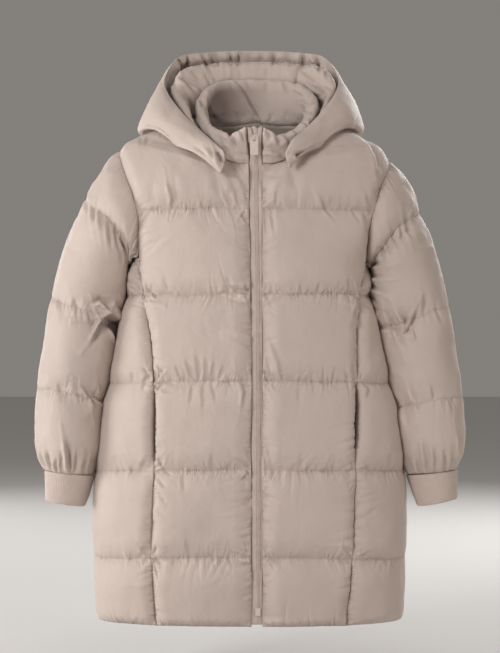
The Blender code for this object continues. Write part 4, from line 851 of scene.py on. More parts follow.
def quilted(p, n, seam_at, heights, left=0.030, right=0.030, ring=False, seed=1, extra=None, keep=1.0,
            wall_seam=-0.0004, gather=1.0, gather_left=1.0, gather_right=1.0, reach_low=0.034, reach_high=0.048,
            folds=(), lining=0.003, lump=1.0, after=None, steps=80, wave=0.014, power=0.88, out=0.0,
            shallow=0.0, stray=0.0, bold=1.5, first=None, pin=(False, False), still=None, up=None):
    """A stack of padded cells on the base grid p with normals n (first axis across, second up).
    out lifts the whole cloth, seams included, shallow how much of a seam is filled up here and
    there, stray how far the rows wander, and bold how much deeper the folds are pressed.
    first is the reach of the lowest cell's foot; pin holds an edge that has no seam crown of its own."""
    nu, nv = p.shape[:2]
    up = physical(p, 1) if up is None else up
    across = physical(p, 0)
    if ring:
        across_total = across[-1][None] + np.linalg.norm(p[0] - p[-1], axis=-1)[None]
    else:
        across_total = across[-1:]
    cell = np.zeros(nv, int)
    for k, j in enumerate(seam_at[:-1]):
        cell[j:] = k
    lo, hi = up[:, [seam_at[c] for c in cell]], up[:, [seam_at[c + 1] for c in cell]]
    d_low, d_high = up - lo, hi - up
    tall = np.maximum(hi - lo, 1e-6)
    r_low = np.minimum(reach_low, tall * 0.52)
    if first:
        r_low = np.where(cell[None, :] == 0, first, r_low)
    r_high = np.minimum(reach_high, tall * 0.48)
    H = np.array([heights[c] for c in cell])[None, :] * np.ones((nu, 1))
    h = H * crown(d_low, r_low, power) * crown(d_high, r_high, power)
    d_row = np.minimum(d_low, d_high)
    d_col = np.full((nu, nv), 9.0)
    d_left, d_right = across, across_total - across
    if left:
        h = h * crown(d_left, left, 0.72)
        d_col = np.minimum(d_col, d_left)
    if right:
        h = h * crown(d_right, right, 0.72)
        d_col = np.minimum(d_col, d_right)
    h = h * keep
    free = np.ones((nu, nv))
    for j in seam_at:
        free[:, j] = 0
    if left:
        free[0] = 0
    if right:
        free[-1] = 0
    calm = np.ones((nu, nv))
    if pin[0]:
        free[0] = 0
        calm = np.minimum(calm, np.clip(d_left / 0.014, 0, 1))
    if pin[1]:
        free[-1] = 0
        calm = np.minimum(calm, np.clip(d_right / 0.014, 0, 1))
    if still is not None:
        free = free * (1 - still)
    plain = h
    # the filling is lumpy, and no two cells hold quite the same
    soft = np.clip(h / np.maximum(H, 1e-6), 0, 1)
    h = h * (1 + 0.12 * noise(p, 0.11, seed + 40))
    h = h + lump * soft * (0.0017 * noise(p, 0.065, seed + 41) + 0.0007 * noise(p, 0.032, seed + 42))
    cells = np.asarray(cell)[None, :] + 0.37 * (d_low > d_high)
    corner_row = 1 + 1.3 * (np.exp(-d_left / 0.022) * bool(left) + np.exp(-d_right / 0.022) * bool(right))
    corner_col = 1 + 1.2 * np.exp(-d_row / 0.024)
    bunch = patch(across, cells, seed + 10)
    fit = np.minimum(keep * np.ones((nu, nv)), 1.0) * np.clip(H / 0.008, 0.2, 1)
    g = gather * 0.00118 * (0.10 + 1.15 * bunch) * corner_row * gathers(across, d_row, cells, seed + 20, wave, 0.0185)
    g = g + gather * 0.00110 * (0.20 + bunch) * gathers(across, d_row, cells + 0.5, seed + 25, wave * 0.6, 0.012)
    eu = gather * 0.045 * bunch * np.exp(-d_row / 0.020) * calm
    ev = 0.0 * eu
    if left:
        bl = patch(up, 1.0, seed + 11, 0.045)
        g = g + gather_left * 0.00215 * (0.30 + bl) * corner_col * gathers(up, d_left, 3.0, seed + 21, 0.0125, 0.019)
        ev = ev + gather_left * 0.050 * bl * np.exp(-d_left / 0.018)
    if right:
        br = patch(up, 2.0, seed + 12, 0.045)
        g = g + gather_right * 0.00215 * (0.30 + br) * corner_col * gathers(up, d_right, 4.0, seed + 22, 0.0125, 0.019)
        ev = ev + gather_right * 0.050 * br * np.exp(-d_right / 0.018)
    h = plain + (h - plain) * calm
    g = g * calm
    if shallow:
        ends = np.clip(np.minimum(up, up[:, -1:] - up) / 0.030, 0, 1)
        rest = shallow * np.clip(0.42 + 1.25 * noise(p, 0.040, seed + 70), 0.05, 1) * ends * calm * np.clip(-n[..., 1] * 2.0, 0.12, 1)
        h = np.sqrt(h ** 2 + rest ** 2)
    h = np.maximum(h + g * fit, wall_seam) + out
    if extra is not None:
        h = h + extra
    if len(folds):
        dip = bold * press(p, n, folds) * np.clip(0.50 + 1.6 * soft + 1.0 * ring, 0, 1) * np.clip(0.25 + np.minimum(d_left, d_right) / 0.005 + 1.0 * ring, 0, 1)
        h = h + np.maximum(dip, -0.017) * calm
    small = np.exp(-d_row / 0.007)
    pucker = noise(p, 0.011, seed + 50) * 0.0006 + noise(p, 0.024, seed + 51) * 0.0007
    inside = 1.0 if ring else np.clip((np.minimum(d_left, d_right) - 0.002) / 0.006, 0, 1)
    height = wall_seam * (1 - soft) + h + pucker * small * inside
    wander = np.stack([noise(p, 0.085, 60), 0 * p[..., 0], noise(p, 0.085, 61)], -1) * 0.0012 \
        + np.stack([noise(p, 0.026, 62), 0 * p[..., 0], noise(p, 0.026, 63)], -1) * 0.0007 \
        + np.stack([noise(p, 0.012, 64), 0 * p[..., 0], noise(p, 0.012, 65)], -1) * 0.0004
    if stray:
        ends = np.clip(np.minimum(up, up[:, -1:] - up) / 0.040, 0, 1)[..., None]
        wander = wander + stray * ends * np.stack([0.08 * noise(p, 0.050, 66), 0 * p[..., 0], noise(p, 0.038, 67) + 0.45 * noise(p, 0.016, 68)], -1)
    T = p + n * height[..., None] + wander * np.clip((p[..., 2:3] + 0.812) / 0.02, 0, 1)
    kick = 0.0004 * noise(p, 0.014, seed + 30)
    X = relax(T, n, free, eu + 0.004, ev + 0.004, kick, np.maximum(h, 0) * 0.8 + 0.0006, ring_u=ring,
              steps=steps, hold=0.02, slide=0.02, bend=0.012, most=0.005)
    if after is not None:
        X = after(X)
    inner = p - n * np.maximum(0.0021 + lining * soft, 0.0022 - height)[..., None]
    seam = np.clip(d_row, 0, 0.02)
    uv = np.stack([across, up], -1)
    run = across * np.ones((1, nv))
    edge = np.full((nu, nv), 0.05)
    if left:
        edge = np.minimum(edge, d_left)
    if right:
        edge = np.minimum(edge, d_right)
    return X, inner, uv, {"seam": seam, "run": run, "edge": np.clip(edge, 0, 0.05), "rise": up}


def ride(ob, body_name="coat"):
    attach(ob, body_name)
    return ob


def front_grid(side, rows, share):
    """Base grid of a front panel: across from the zip to the princess seam and armhole, up from the hem."""
    sgn = -1 if side == "l" else 1
    arm = arm_curve(side)
    nq = len(QUILT) - 1
    zx_top = float(body(SPRING_Z)[2])
    yoke_in = [(float(zip_edge(side, QUILT[-1, 0])), QUILT[-1, 0]), (float(zip_edge(side, -0.078)), -0.078)]
    yoke_in += [(zx_top + sgn * d, v) for d, v in NECK_FRONT]
    yoke_in[2] = (float(zip_edge(side, -0.0536)), -0.0536)
    fine = along(arm, np.linspace(0, 1, 240))
    top = quilt_height(QUILT[-1], fine[:, 0])
    k = int(np.argmin(np.abs(fine[:, 1] - top)))
    yoke_out = fine[k:]
    corner = 0.30

    def x_at(z):
        if z < arm[0, 1]:
            return float(princess_x(side, z))
        return float(np.interp(z, fine[:, 1], fine[:, 0]))

    inner_pts, outer_pts = [], []
    for r in rows:
        if r <= nq:
            i = min(int(r), nq - 1)
            a = r - i
            z_in = QUILT[i, 0] * (1 - a) + QUILT[i + 1, 0] * a
            inner_pts.append((float(zip_edge(side, z_in)), z_in))
            z = z_in
            for _ in range(5):
                x = x_at(z)
                z = float(quilt_height(QUILT[i], x) * (1 - a) + quilt_height(QUILT[i + 1], x) * a)
            outer_pts.append((x_at(z), z))
        else:
            a = r - nq
            if a <= corner:
                inner_pts.append(tuple(yoke_polyline(yoke_in[:3], a / corner)))
            else:
                inner_pts.append(tuple(yoke_polyline(yoke_in[2:], (a - corner) / (1 - corner))))
            outer_pts.append(tuple(along(yoke_out, [a])[0]))
    inner_pts, outer_pts = np.array(inner_pts), np.array(outer_pts)
    s = share[:, None]
    x = inner_pts[:, 0] * (1 - s) + outer_pts[:, 0] * s
    v = inner_pts[:, 1] * (1 - s) + outer_pts[:, 1] * s
    p = torso(x, v)
    n = grid_normals(p)
    n = n * np.sign(-n[..., 1:2] + n[..., 2:3] * 0.6)
    n[:, -1, 1] = 0.0
    n[:, -1] = unit(n[:, -1])
    return p, n


def side_grid(side, rows, share):
    """Base grid of a side front: across from the princess seam to the side seam."""
    nq = 4
    arm = arm_curve(side)
    u = UNDERARM[side]
    grid = np.zeros((len(share), len(rows), 3))
    for j, r in enumerate(rows):
        def height(x):
            if r <= nq:
                i = min(int(r), nq - 1)
                a = r - i
                return quilt_height(QUILT[i], x) * (1 - a) + quilt_height(QUILT[i + 1], x) * a
            a = r - nq
            t = np.clip((np.abs(x) - abs(arm[0, 0])) / (abs(u[0]) - abs(arm[0, 0])), 0, 1)
            return quilt_height(QUILT[nq], x) * (1 - a) + (arm[0, 1] * (1 - t) + u[1] * t) * a
        x0 = float(princess_x(side, -0.3))
        for _ in range(5):
            z0 = float(height(np.array(x0)))
            x0 = float(princess_x(side, z0))
        x1 = float(side_x(side, z0))
        for _ in range(5):
            z1 = float(height(np.array(x1)))
            x1 = float(side_x(side, z1))
        left, right, zx, front, _ = body(np.array(z0))
        half0 = (zx - left) if side == "l" else (right - zx)
        a0 = math.asin(min(1.0, (abs(x0 - float(zx)) / float(half0)) ** (ROUND / 2)))
        ang = a0 * (1 - share) + math.pi / 2 * share
        z = z0 * (1 - share) + z1 * share
        for _ in range(2):
            lft, rgt, zx, frt, _ = body(z)
            half = zx - lft if side == "l" else rgt - zx
            d = half * np.sin(ang) ** (2 / ROUND)
            x = zx + (-d if side == "l" else d)
            z = height(x)
        grid[:, j] = np.stack([x, -frt * np.maximum(np.cos(ang), 0.0) ** (2 / ROUND), z], -1)
    n = grid_normals(grid)
    out = np.array([-1.0 if side == "l" else 1.0, -0.6, 0])
    n = n * np.sign((n * out).sum(-1, keepdims=True))
    n[-1] = (-1.0 if side == "l" else 1.0, 0.0, 0.0)
    return grid, n


def back_grid(rows, share):
    nq = len(QUILT) - 1
    fine = {s: along(arm_curve(s), np.linspace(0, 1, 240)) for s in "lr"}
    grid = np.zeros((len(share), len(rows), 3))
    top = SPRING_Z + YOKE_RISE

    def edge(side, r):
        u = UNDERARM[side]
        f = np.vstack([[u[0], u[1]], fine[side]])
        if r < nq:
            i = int(r)
            a = r - i
            x = float(side_x(side, -0.3))
            for _ in range(6):
                z = float(quilt_height(QUILT[i], np.array(x)) * (1 - a) + quilt_height(QUILT[i + 1], np.array(x)) * a)
                x = float(side_x(side, z)) if z < u[1] else float(np.interp(z, f[:, 1], f[:, 0]))
            return x, z
        a = r - nq
        k = int(np.argmin(np.abs(fine[side][:, 1] - QUILT[-1, 1])))
        return tuple(along(fine[side][k:], [a])[0])

    ends = np.array([edge("l", r) + edge("r", r) for r in rows])
    # the step in at the underarms is taken up near the edges, and the middle narrows slowly
    calm_l, calm_r = smooth_line(ends[:, 0], 90), smooth_line(ends[:, 2], 90)
    near_l, near_r = np.exp(-(share / 0.12) ** 2), np.exp(-((1 - share) / 0.12) ** 2)
    for j, r in enumerate(rows):
        xl, vl, xr, vr = ends[j]
        on_arm = {"l": vl > UNDERARM["l"][1] - 0.002, "r": vr > UNDERARM["r"][1] - 0.002}
        v = vl * (1 - share) + vr * share
        lft, rgt, zx, _, _ = body(v)
        reach_l = xl * near_l + calm_l[j] * (1 - near_l)
        reach_r = xr * near_r + calm_r[j] * (1 - near_r)
        al = np.arcsin(np.clip(np.maximum(zx - reach_l, 0) / (zx - lft), 0, 1) ** (ROUND / 2))
        ar = np.arcsin(np.clip(np.maximum(reach_r - zx, 0) / (rgt - zx), 0, 1) ** (ROUND / 2))
        ang = -al * (1 - share) + ar * share
        d = np.abs(np.sin(ang)) ** (2 / ROUND)
        x = np.where(ang < 0, zx - (zx - lft) * d, zx + (rgt - zx) * d)
        x[0], x[-1] = xl, xr
        if r < nq:
            k = int(r)
            a = r - k
            v = quilt_height(QUILT[k], x) * (1 - a) + quilt_height(QUILT[k + 1], x) * a
        else:
            a = r - nq
            d0 = np.abs(x - zx)
            neck_v = np.interp(d0, NECK_BACK[::-1, 0], NECK_BACK[::-1, 1])
            roof = np.where(d0 >= NECK_BACK[0, 0], top, neck_v)
            v2 = quilt_height(QUILT[-1], x) * (1 - a) + roof * a
            v2[0], v2[-1] = vl, vr
            v = v2
        grid[:, j] = torso(x, v, back=True)
        for i, s in ((0, "l"), (-1, "r")):
            if not on_arm[s]:
                grid[i, j, 1] = 0.0
    n = grid_normals(grid)
    n = n * np.sign(n[..., 1:2] + n[..., 2:3] * 0.3 + 1e-9)
    low = rows < nq - 0.6
    n[0, low] = (-1.0, 0.0, 0.0)
    n[-1, low] = (1.0, 0.0, 0.0)
    n[:, -1, 1] = 0.0
    n[:, -1] = unit(n[:, -1])
    return grid, n


def pocket_dip(side, p, d_edge, wide):
    """How far a pocket's edge turns inward beside its slit."""
    mid, half = (-0.478, 0.062) if side == "l" else (-0.460, 0.058)
    t = np.clip(1 - ((p[..., 2] - mid) / half) ** 2, 0, 1) ** 0.5
    return -wide * t * np.exp(-(d_edge / 0.0045) ** 2)


FRONT_SEAMS = [0, 1, 2, 3, 4, 5, 6]
FRONT_COUNTS = [54, 62, 62, 62, 62, 64]

# Folds listed one by one: (points on the drawing grid, depth, width, lean), see press().
def corner_knots(corners, seed, towards=(1, -1), size=1.0):
    """Short folds that fan out of the corners where two seams cross."""
    rng = np.random.default_rng(seed)
    out = []
    for u, v in corners:
        strength = rng.uniform(0.35, 1.0)
        for side in towards:
            for rise in (1, -1):
                for k in range(rng.integers(1, 4) if rise > 0 else rng.integers(0, 3)):
                    a = math.radians(rng.uniform(8, 82))
                    long = rng.uniform(6, 20) * size
                    start = rng.uniform(1.0, 3.5)
                    du, dv = side * math.cos(a), -rise * math.sin(a)
                    bend = rng.uniform(-0.16, 0.16) * long
                    mid = (u + du * (start + long * 0.5) - dv * bend, v + dv * (start + long * 0.5) + du * bend)
                    out.append((((u + du * start, v + dv * start), mid, (u + du * (start + long), v + dv * (start + long))),
                                strength * rng.uniform(0.8, 2.4), rng.uniform(1.7, 2.7), rng.choice([-1, 1]) * rng.uniform(0.5, 0.9)))
    return out


FOLDS_L = corner_knots([(250, 208), (250, 295), (250, 381), (250, 470), (250, 557)], 5, (-1,)) \
    + corner_knots([(143.5, 295), (153.5, 381), (154, 470), (151.5, 557)], 6, (1,)) + [
    (((226, 160), (240, 178), (249, 192)), 2.2, 5, 0.6), (((236, 158), (248, 175)), 2.0, 4, 0.6),
    (((228, 177), (241, 197)), 1.5, 5, 0.5), (((243, 160), (249, 168)), 1.6, 3, 0.5),
    (((226, 194), (232, 207)), 1.5, 3, 0.7), (((235, 191), (240, 206)), 1.5, 3, 0.7),
    (((245, 193), (249, 206)), 1.8, 3, 0.7), (((171, 184), (174, 198), (173, 209)), 2.6, 3, 0.9),
    (((176, 178), (178, 204)), 1.0, 5, 0.4), (((150, 138), (148, 149)), 1.8, 3, 0.6),
    (((145, 139), (144, 153)), 1.0, 4, 0.4), (((151, 210), (141, 225)), 1.7, 3.5, 0.6),
    (((215, 172), (222, 199)), 1.1, 7, 0.3), (((235, 176), (231, 198)), 1.0, 5, 0.3),
    (((157, 176), (154, 204)), 0.9, 8, 0.2), (((146, 289), (152, 291), (159, 297)), 3.0, 3.2, 0.8),
    (((150, 283), (148, 294)), 1.8, 3, 0.5), (((246, 284), (250, 301)), 2.6, 3.2, 0.8),
    (((243, 291), (251, 305)), 1.8, 3, 0.5), (((246, 210), (243, 217), (249, 223)), 2.6, 2.6, 0.8),
    (((147, 256), (170, 232)), 1.1, 5, 0.5), (((144, 249), (158, 240)), 1.0, 3.5, 0.5),
    (((168, 278), (170, 292)), 1.0, 4, 0.4), (((228, 276), (231, 292)), 1.2, 4, 0.4),
    (((188, 361), (193, 378)), 1.5, 3, 0.6), (((197, 356), (199, 379)), 1.5, 3.2, 0.6),
    (((206, 360), (205, 379)), 1.5, 3, 0.6), (((214, 363), (211, 379)), 1.5, 3, 0.6),
    (((223, 367), (219, 379)), 1.3, 3, 0.6), (((177, 368), (181, 379)), 1.2, 3, 0.6),
    (((192, 384), (190, 403)), 1.2, 3.2, 0.5), (((203, 384), (204, 409)), 1.2, 3.5, 0.5),
    (((211, 385), (215, 400)), 1.1, 3, 0.5), (((241, 374), (246, 391), (243, 409)), 2.2, 3.6, 0.8),
    (((157, 365), (164, 372)), 1.9, 2.6, 0.7), (((156, 376), (166, 381)), 2.2, 2.6, 0.7),
    (((157, 389), (165, 386)), 1.8, 2.6, 0.7), (((158, 322), (154, 345)), 1.0, 5, 0.3),
    (((158, 478), (166, 487)), 1.6, 2.8, 0.6), (((157, 492), (167, 501)), 1.6, 2.8, 0.6),
    (((157, 508), (166, 514)), 1.5, 2.8, 0.6), (((158, 459), (166, 470)), 2.0, 3, 0.7),
    (((241, 478), (250, 480)), 1.6, 2.4, 0.6), (((240, 492), (250, 490)), 1.6, 2.4, 0.6),
    (((242, 503), (250, 506)), 1.5, 2.4, 0.6), (((241, 521), (250, 519)), 1.6, 2.4, 0.6),
    (((242, 536), (250, 538)), 1.5, 2.4, 0.6), (((240, 549), (250, 552)), 1.8, 2.6, 0.6),
    (((241, 566), (250, 563)), 1.6, 2.4, 0.6), (((242, 580), (250, 582)), 1.4, 2.4, 0.6),
    (((241, 596), (250, 595)), 1.5, 2.4, 0.6), (((188, 540), (190, 556)), 1.2, 3.5, 0.5),
    (((214, 452), (212, 469)), 1.1, 4, 0.4), (((184, 474), (186, 492)), 1.1, 4, 0.4),
]
FOLDS_R = corner_knots([(262.5, 208), (262.5, 295), (262.5, 384), (262.5, 471), (262.5, 557)], 7, (1,)) \
    + corner_knots([(372.5, 212), (359.5, 298), (357.5, 384), (357.5, 471), (353, 557)], 8, (-1,)) + [
    (((262, 176), (275, 161), (290, 153)), 2.2, 4.4, 0.7), (((264, 190), (281, 171)), 1.6, 5, 0.5),
    (((263, 165), (272, 155)), 1.8, 3, 0.6), (((289, 167), (297, 190)), 1.0, 7, 0.3),
    (((264, 206), (267, 235)), 2.2, 3.2, 0.8), (((271, 208), (274, 231)), 1.6, 3, 0.6),
    (((278, 191), (276, 206)), 1.6, 3.4, 0.6), (((321, 198), (326, 209), (331, 217)), 2.4, 3, 0.8),
    (((329, 198), (330, 207)), 1.4, 2.6, 0.6), (((352, 209), (358, 223)), 1.6, 3, 0.6),
    (((362, 211), (367, 225)), 1.6, 3, 0.6), (((362, 136), (370, 154), (376, 168), (383, 176)), 2.2, 4, 0.8),
    (((372, 163), (376, 178), (379, 191)), 1.8, 3.6, 0.6), (((363, 191), (372, 214)), 1.6, 4, 0.6),
    (((361, 216), (367, 236)), 1.6, 3.2, 0.6), (((264, 288), (269, 301)), 2.6, 3.2, 0.8),
    (((271, 286), (272, 295)), 1.4, 3, 0.5), (((300, 284), (302, 295)), 1.4, 3, 0.6),
    (((318, 283), (316, 294)), 1.2, 3, 0.6), (((345, 283), (347, 294)), 1.4, 3, 0.6),
    (((268, 338), (280, 362), (284, 384)), 1.7, 5, 0.6), (((266, 358), (273, 384)), 1.7, 4, 0.6),
    (((264, 372), (269, 386)), 2.2, 3, 0.7), (((265, 438), (274, 471)), 1.7, 5, 0.6),
    (((264, 455), (268, 472)), 2.0, 3, 0.7), (((358, 299), (352, 318)), 2.2, 3.2, 0.7),
    (((350, 366), (355, 384)), 1.6, 3.2, 0.6), (((310, 372), (312, 384)), 1.2, 3, 0.5),
    (((322, 368), (323, 384)), 1.2, 3.2, 0.5), (((334, 370), (332, 384)), 1.2, 3, 0.5),
    (((300, 388), (298, 404)), 1.0, 3.4, 0.4), (((350, 462), (356, 473)), 2.0, 3, 0.7),
    (((264, 548), (272, 557)), 1.8, 3, 0.6), (((263, 500), (272, 497)), 1.4, 2.6, 0.6),
    (((263, 523), (273, 525)), 1.4, 2.6, 0.6), (((263, 578), (272, 574)), 1.4, 2.6, 0.6),
    (((343, 545), (350, 556)), 1.8, 3, 0.6), (((300, 455), (302, 470)), 1.1, 4, 0.4),
]
FOLDS_SIDE_L = corner_knots([(143.5, 295), (153.5, 381), (154, 470), (151.5, 557)], 9, (-1,), 0.8) + [
    (((151, 374), (145, 381), (144, 391)), 2.0, 3, 0.7), (((141, 285), (138, 296)), 1.4, 3, 0.5),
    (((148, 458), (142, 469)), 1.6, 3, 0.6), (((120, 455), (118, 470)), 1.1, 4, 0.4),
    (((136, 372), (134, 382)), 1.2, 3, 0.5), (((147, 547), (142, 557)), 1.5, 3, 0.5),
]
FOLDS_SIDE_R = corner_knots([(359.5, 298), (357.5, 384), (357.5, 471), (353, 557)], 10, (1,), 0.8) + [
    (((360, 379), (367, 388), (365, 399)), 2.4, 3.2, 0.8), (((369, 274), (377, 282)), 1.8, 2.6, 0.6),
    (((369, 285), (378, 291)), 1.8, 2.6, 0.6), (((361, 303), (368, 312)), 1.4, 3, 0.5),
    (((361, 462), (370, 471)), 1.6, 3, 0.6), (((385, 452), (388, 470)), 1.1, 4, 0.4),
    (((356, 546), (364, 556)), 1.5, 3, 0.5),
]
FOLDS_SLEEVE_L = [
    (((95, 206), (97, 224)), 2.4, 3, 0.8), (((101, 212), (103, 231)), 2.4, 3, 0.8),
    (((108, 219), (110, 245)), 2.6, 3, 0.8), (((114, 225), (117, 247)), 2.4, 3, 0.8),
    (((121, 231), (124, 253)), 2.4, 3, 0.8), (((129, 239), (130, 262)), 2.4, 3, 0.8),
    (((133, 246), (136, 262)), 2.2, 2.6, 0.7), (((88, 200), (90, 214)), 1.8, 3, 0.6),
    (((99, 321), (108, 319), (117, 321), (125, 325)), 11.0, 5.4, -0.95), (((105, 319), (112, 326), (120, 333)), 7.0, 5.0, 0.4),
    (((93, 303), (99, 299), (104, 302), (108, 311)), 5.5, 3.4, 0.9), (((91, 308), (94, 320), (91, 334)), 3.4, 3.4, -0.9),
    (((106, 316), (98, 327), (91, 341)), 6.0, 3.4, 0.9), (((110, 324), (115, 340)), 4.4, 3.2, 0.8),
    (((88, 309), (90, 322)), 1.8, 3, 0.6), (((112, 300), (120, 312)), 2.0, 3.4, 0.6),
    (((60, 296), (64, 312)), 1.4, 3.6, 0.5), (((76, 298), (78, 314)), 1.4, 3.6, 0.5),
    (((90, 389), (97, 400), (109, 405)), 2.6, 3.4, 0.8), (((60, 384), (62, 398)), 1.4, 3.4, 0.5),
    (((76, 384), (79, 402)), 1.4, 3.4, 0.5), (((99, 380), (102, 394)), 1.8, 3.2, 0.6), (((83, 387), (91, 397), (93, 411)), 4.4, 3.0, 0.8),
    (((44, 452), (47, 470)), 2.4, 2.8, 0.8), (((51, 449), (52, 471)), 2.4, 2.8, 0.8),
    (((58, 456), (58, 472)), 2.2, 2.6, 0.8), (((67, 436), (69, 452), (71, 472)), 4.8, 3.2, 0.9),
    (((76, 450), (75, 473)), 2.4, 2.8, 0.8), (((83, 458), (82, 474)), 2.2, 2.6, 0.8),
    (((90, 455), (89, 475)), 2.4, 2.8, 0.8), (((62, 452), (63, 472)), 1.8, 2.4, 0.7),
]
FOLDS_SLEEVE_R = [
    (((366, 263), (373, 266), (383, 264)), 3.4, 3.0, 0.9), (((366, 272), (374, 277), (386, 277)), 3.6, 3.0, 0.9),
    (((367, 281), (376, 287), (385, 292)), 3.6, 3.0, 0.9), (((368, 291), (375, 299), (380, 308)), 3.0, 3.0, 0.8),
    (((372, 305), (382, 312), (384, 322)), 2.6, 3.2, 0.8), (((372, 256), (386, 250), (402, 237), (412, 221)), 3.0, 5.0, 0.3),
    (((404, 216), (409, 237)), 2.6, 3.2, 0.8), (((411, 208), (414, 224)), 2.0, 3, 0.7),
    (((392, 232), (398, 250)), 2.4, 3.2, 0.8), (((385, 240), (390, 256)), 2.2, 3, 0.8),
    (((380, 246), (384, 260)), 2.2, 3, 0.8), (((399, 224), (403, 243)), 2.0, 3, 0.7),
    (((376, 316), (378, 334)), 2.0, 3.2, 0.7), (((388, 310), (391, 331)), 2.2, 3.2, 0.7),
    (((400, 308), (405, 320), (408, 332)), 3.6, 3.4, 0.9), (((417, 310), (412, 323), (404, 338)), 4.2, 3.4, 0.9),
    (((397, 329), (404, 349)), 2.6, 3.2, 0.8), (((378, 328), (392, 326), (402, 331)), 3.4, 3.4, 0.7),
    (((412, 322), (417, 342)), 2.2, 3.2, 0.8), (((422, 298), (424, 313)), 2.0, 3.2, 0.7),
    (((434, 306), (438, 322)), 1.6, 3.4, 0.6), (((396, 398), (400, 413)), 2.0, 3.2, 0.7),
    (((412, 390), (416, 405)), 2.0, 3.2, 0.7), (((430, 388), (434, 402)), 2.0, 3.2, 0.7),
    (((404, 408), (409, 424)), 1.8, 3.2, 0.7), (((425, 438), (428, 473)), 2.8, 3, 0.9),
    (((433, 446), (435, 472)), 2.4, 2.8, 0.8), (((442, 448), (443, 471)), 2.4, 2.8, 0.8),
    (((455, 430), (458, 463)), 2.4, 2.8, 0.8), (((410, 456), (412, 475)), 2.4, 2.8, 0.8),
    (((418, 458), (420, 474)), 2.2, 2.6, 0.8), (((449, 452), (450, 470)), 2.0, 2.6, 0.8),
]
FOLDS_COLLAR = [
    (((200, 96), (205, 108)), 1.8, 3, 0.7), (((206, 107), (214, 122)), 2.2, 3, 0.8),
    (((213, 128), (222, 146)), 2.4, 3.4, 0.8), (((224, 138), (238, 150)), 2.2, 3.2, 0.8),
    (((230, 133), (235, 147)), 3.2, 3.2, 0.9), (((240, 130), (246, 141)), 2.2, 2.6, 0.7),
    (((266, 129), (270, 141)), 2.2, 2.6, 0.7), (((276, 133), (280, 145)), 3.0, 3.2, 0.9),
    (((285, 133), (291, 143)), 2.2, 3, 0.8), (((261, 148), (271, 149), (283, 152)), 2.8, 3.2, 0.9),
    (((264, 157), (276, 160)), 1.8, 2.8, 0.7), (((236, 152), (247, 156)), 1.8, 2.8, 0.7),
    (((294, 88), (304, 95)), 2.2, 2.6, 0.8), (((299, 97), (309, 103)), 2.2, 2.6, 0.8),
    (((302, 109), (312, 112)), 2.2, 2.6, 0.8), (((298, 120), (308, 125)), 2.2, 2.6, 0.8),
    (((290, 127), (300, 135)), 2.2, 2.8, 0.8), (((243, 87), (250, 99), (257, 111), (263, 121)), 4.6, 3.6, 0.9),
    (((237, 81), (245, 90)), 2.2, 2.4, 0.7), (((246, 80), (250, 89)), 2.0, 2.2, 0.6),
    (((231, 82), (233, 90)), 1.4, 2.6, 0.5), (((268, 80), (266, 92)), 1.2, 3, 0.4),
    (((284, 82), (288, 92)), 2.0, 2.6, 0.7), (((236, 112), (243, 120)), 1.6, 2.6, 0.6),
    (((252, 113), (256, 120)), 1.6, 2.4, 0.6), (((270, 113), (272, 120)), 1.6, 2.4, 0.6),
    (((284, 112), (288, 119)), 1.6, 2.4, 0.6),
]
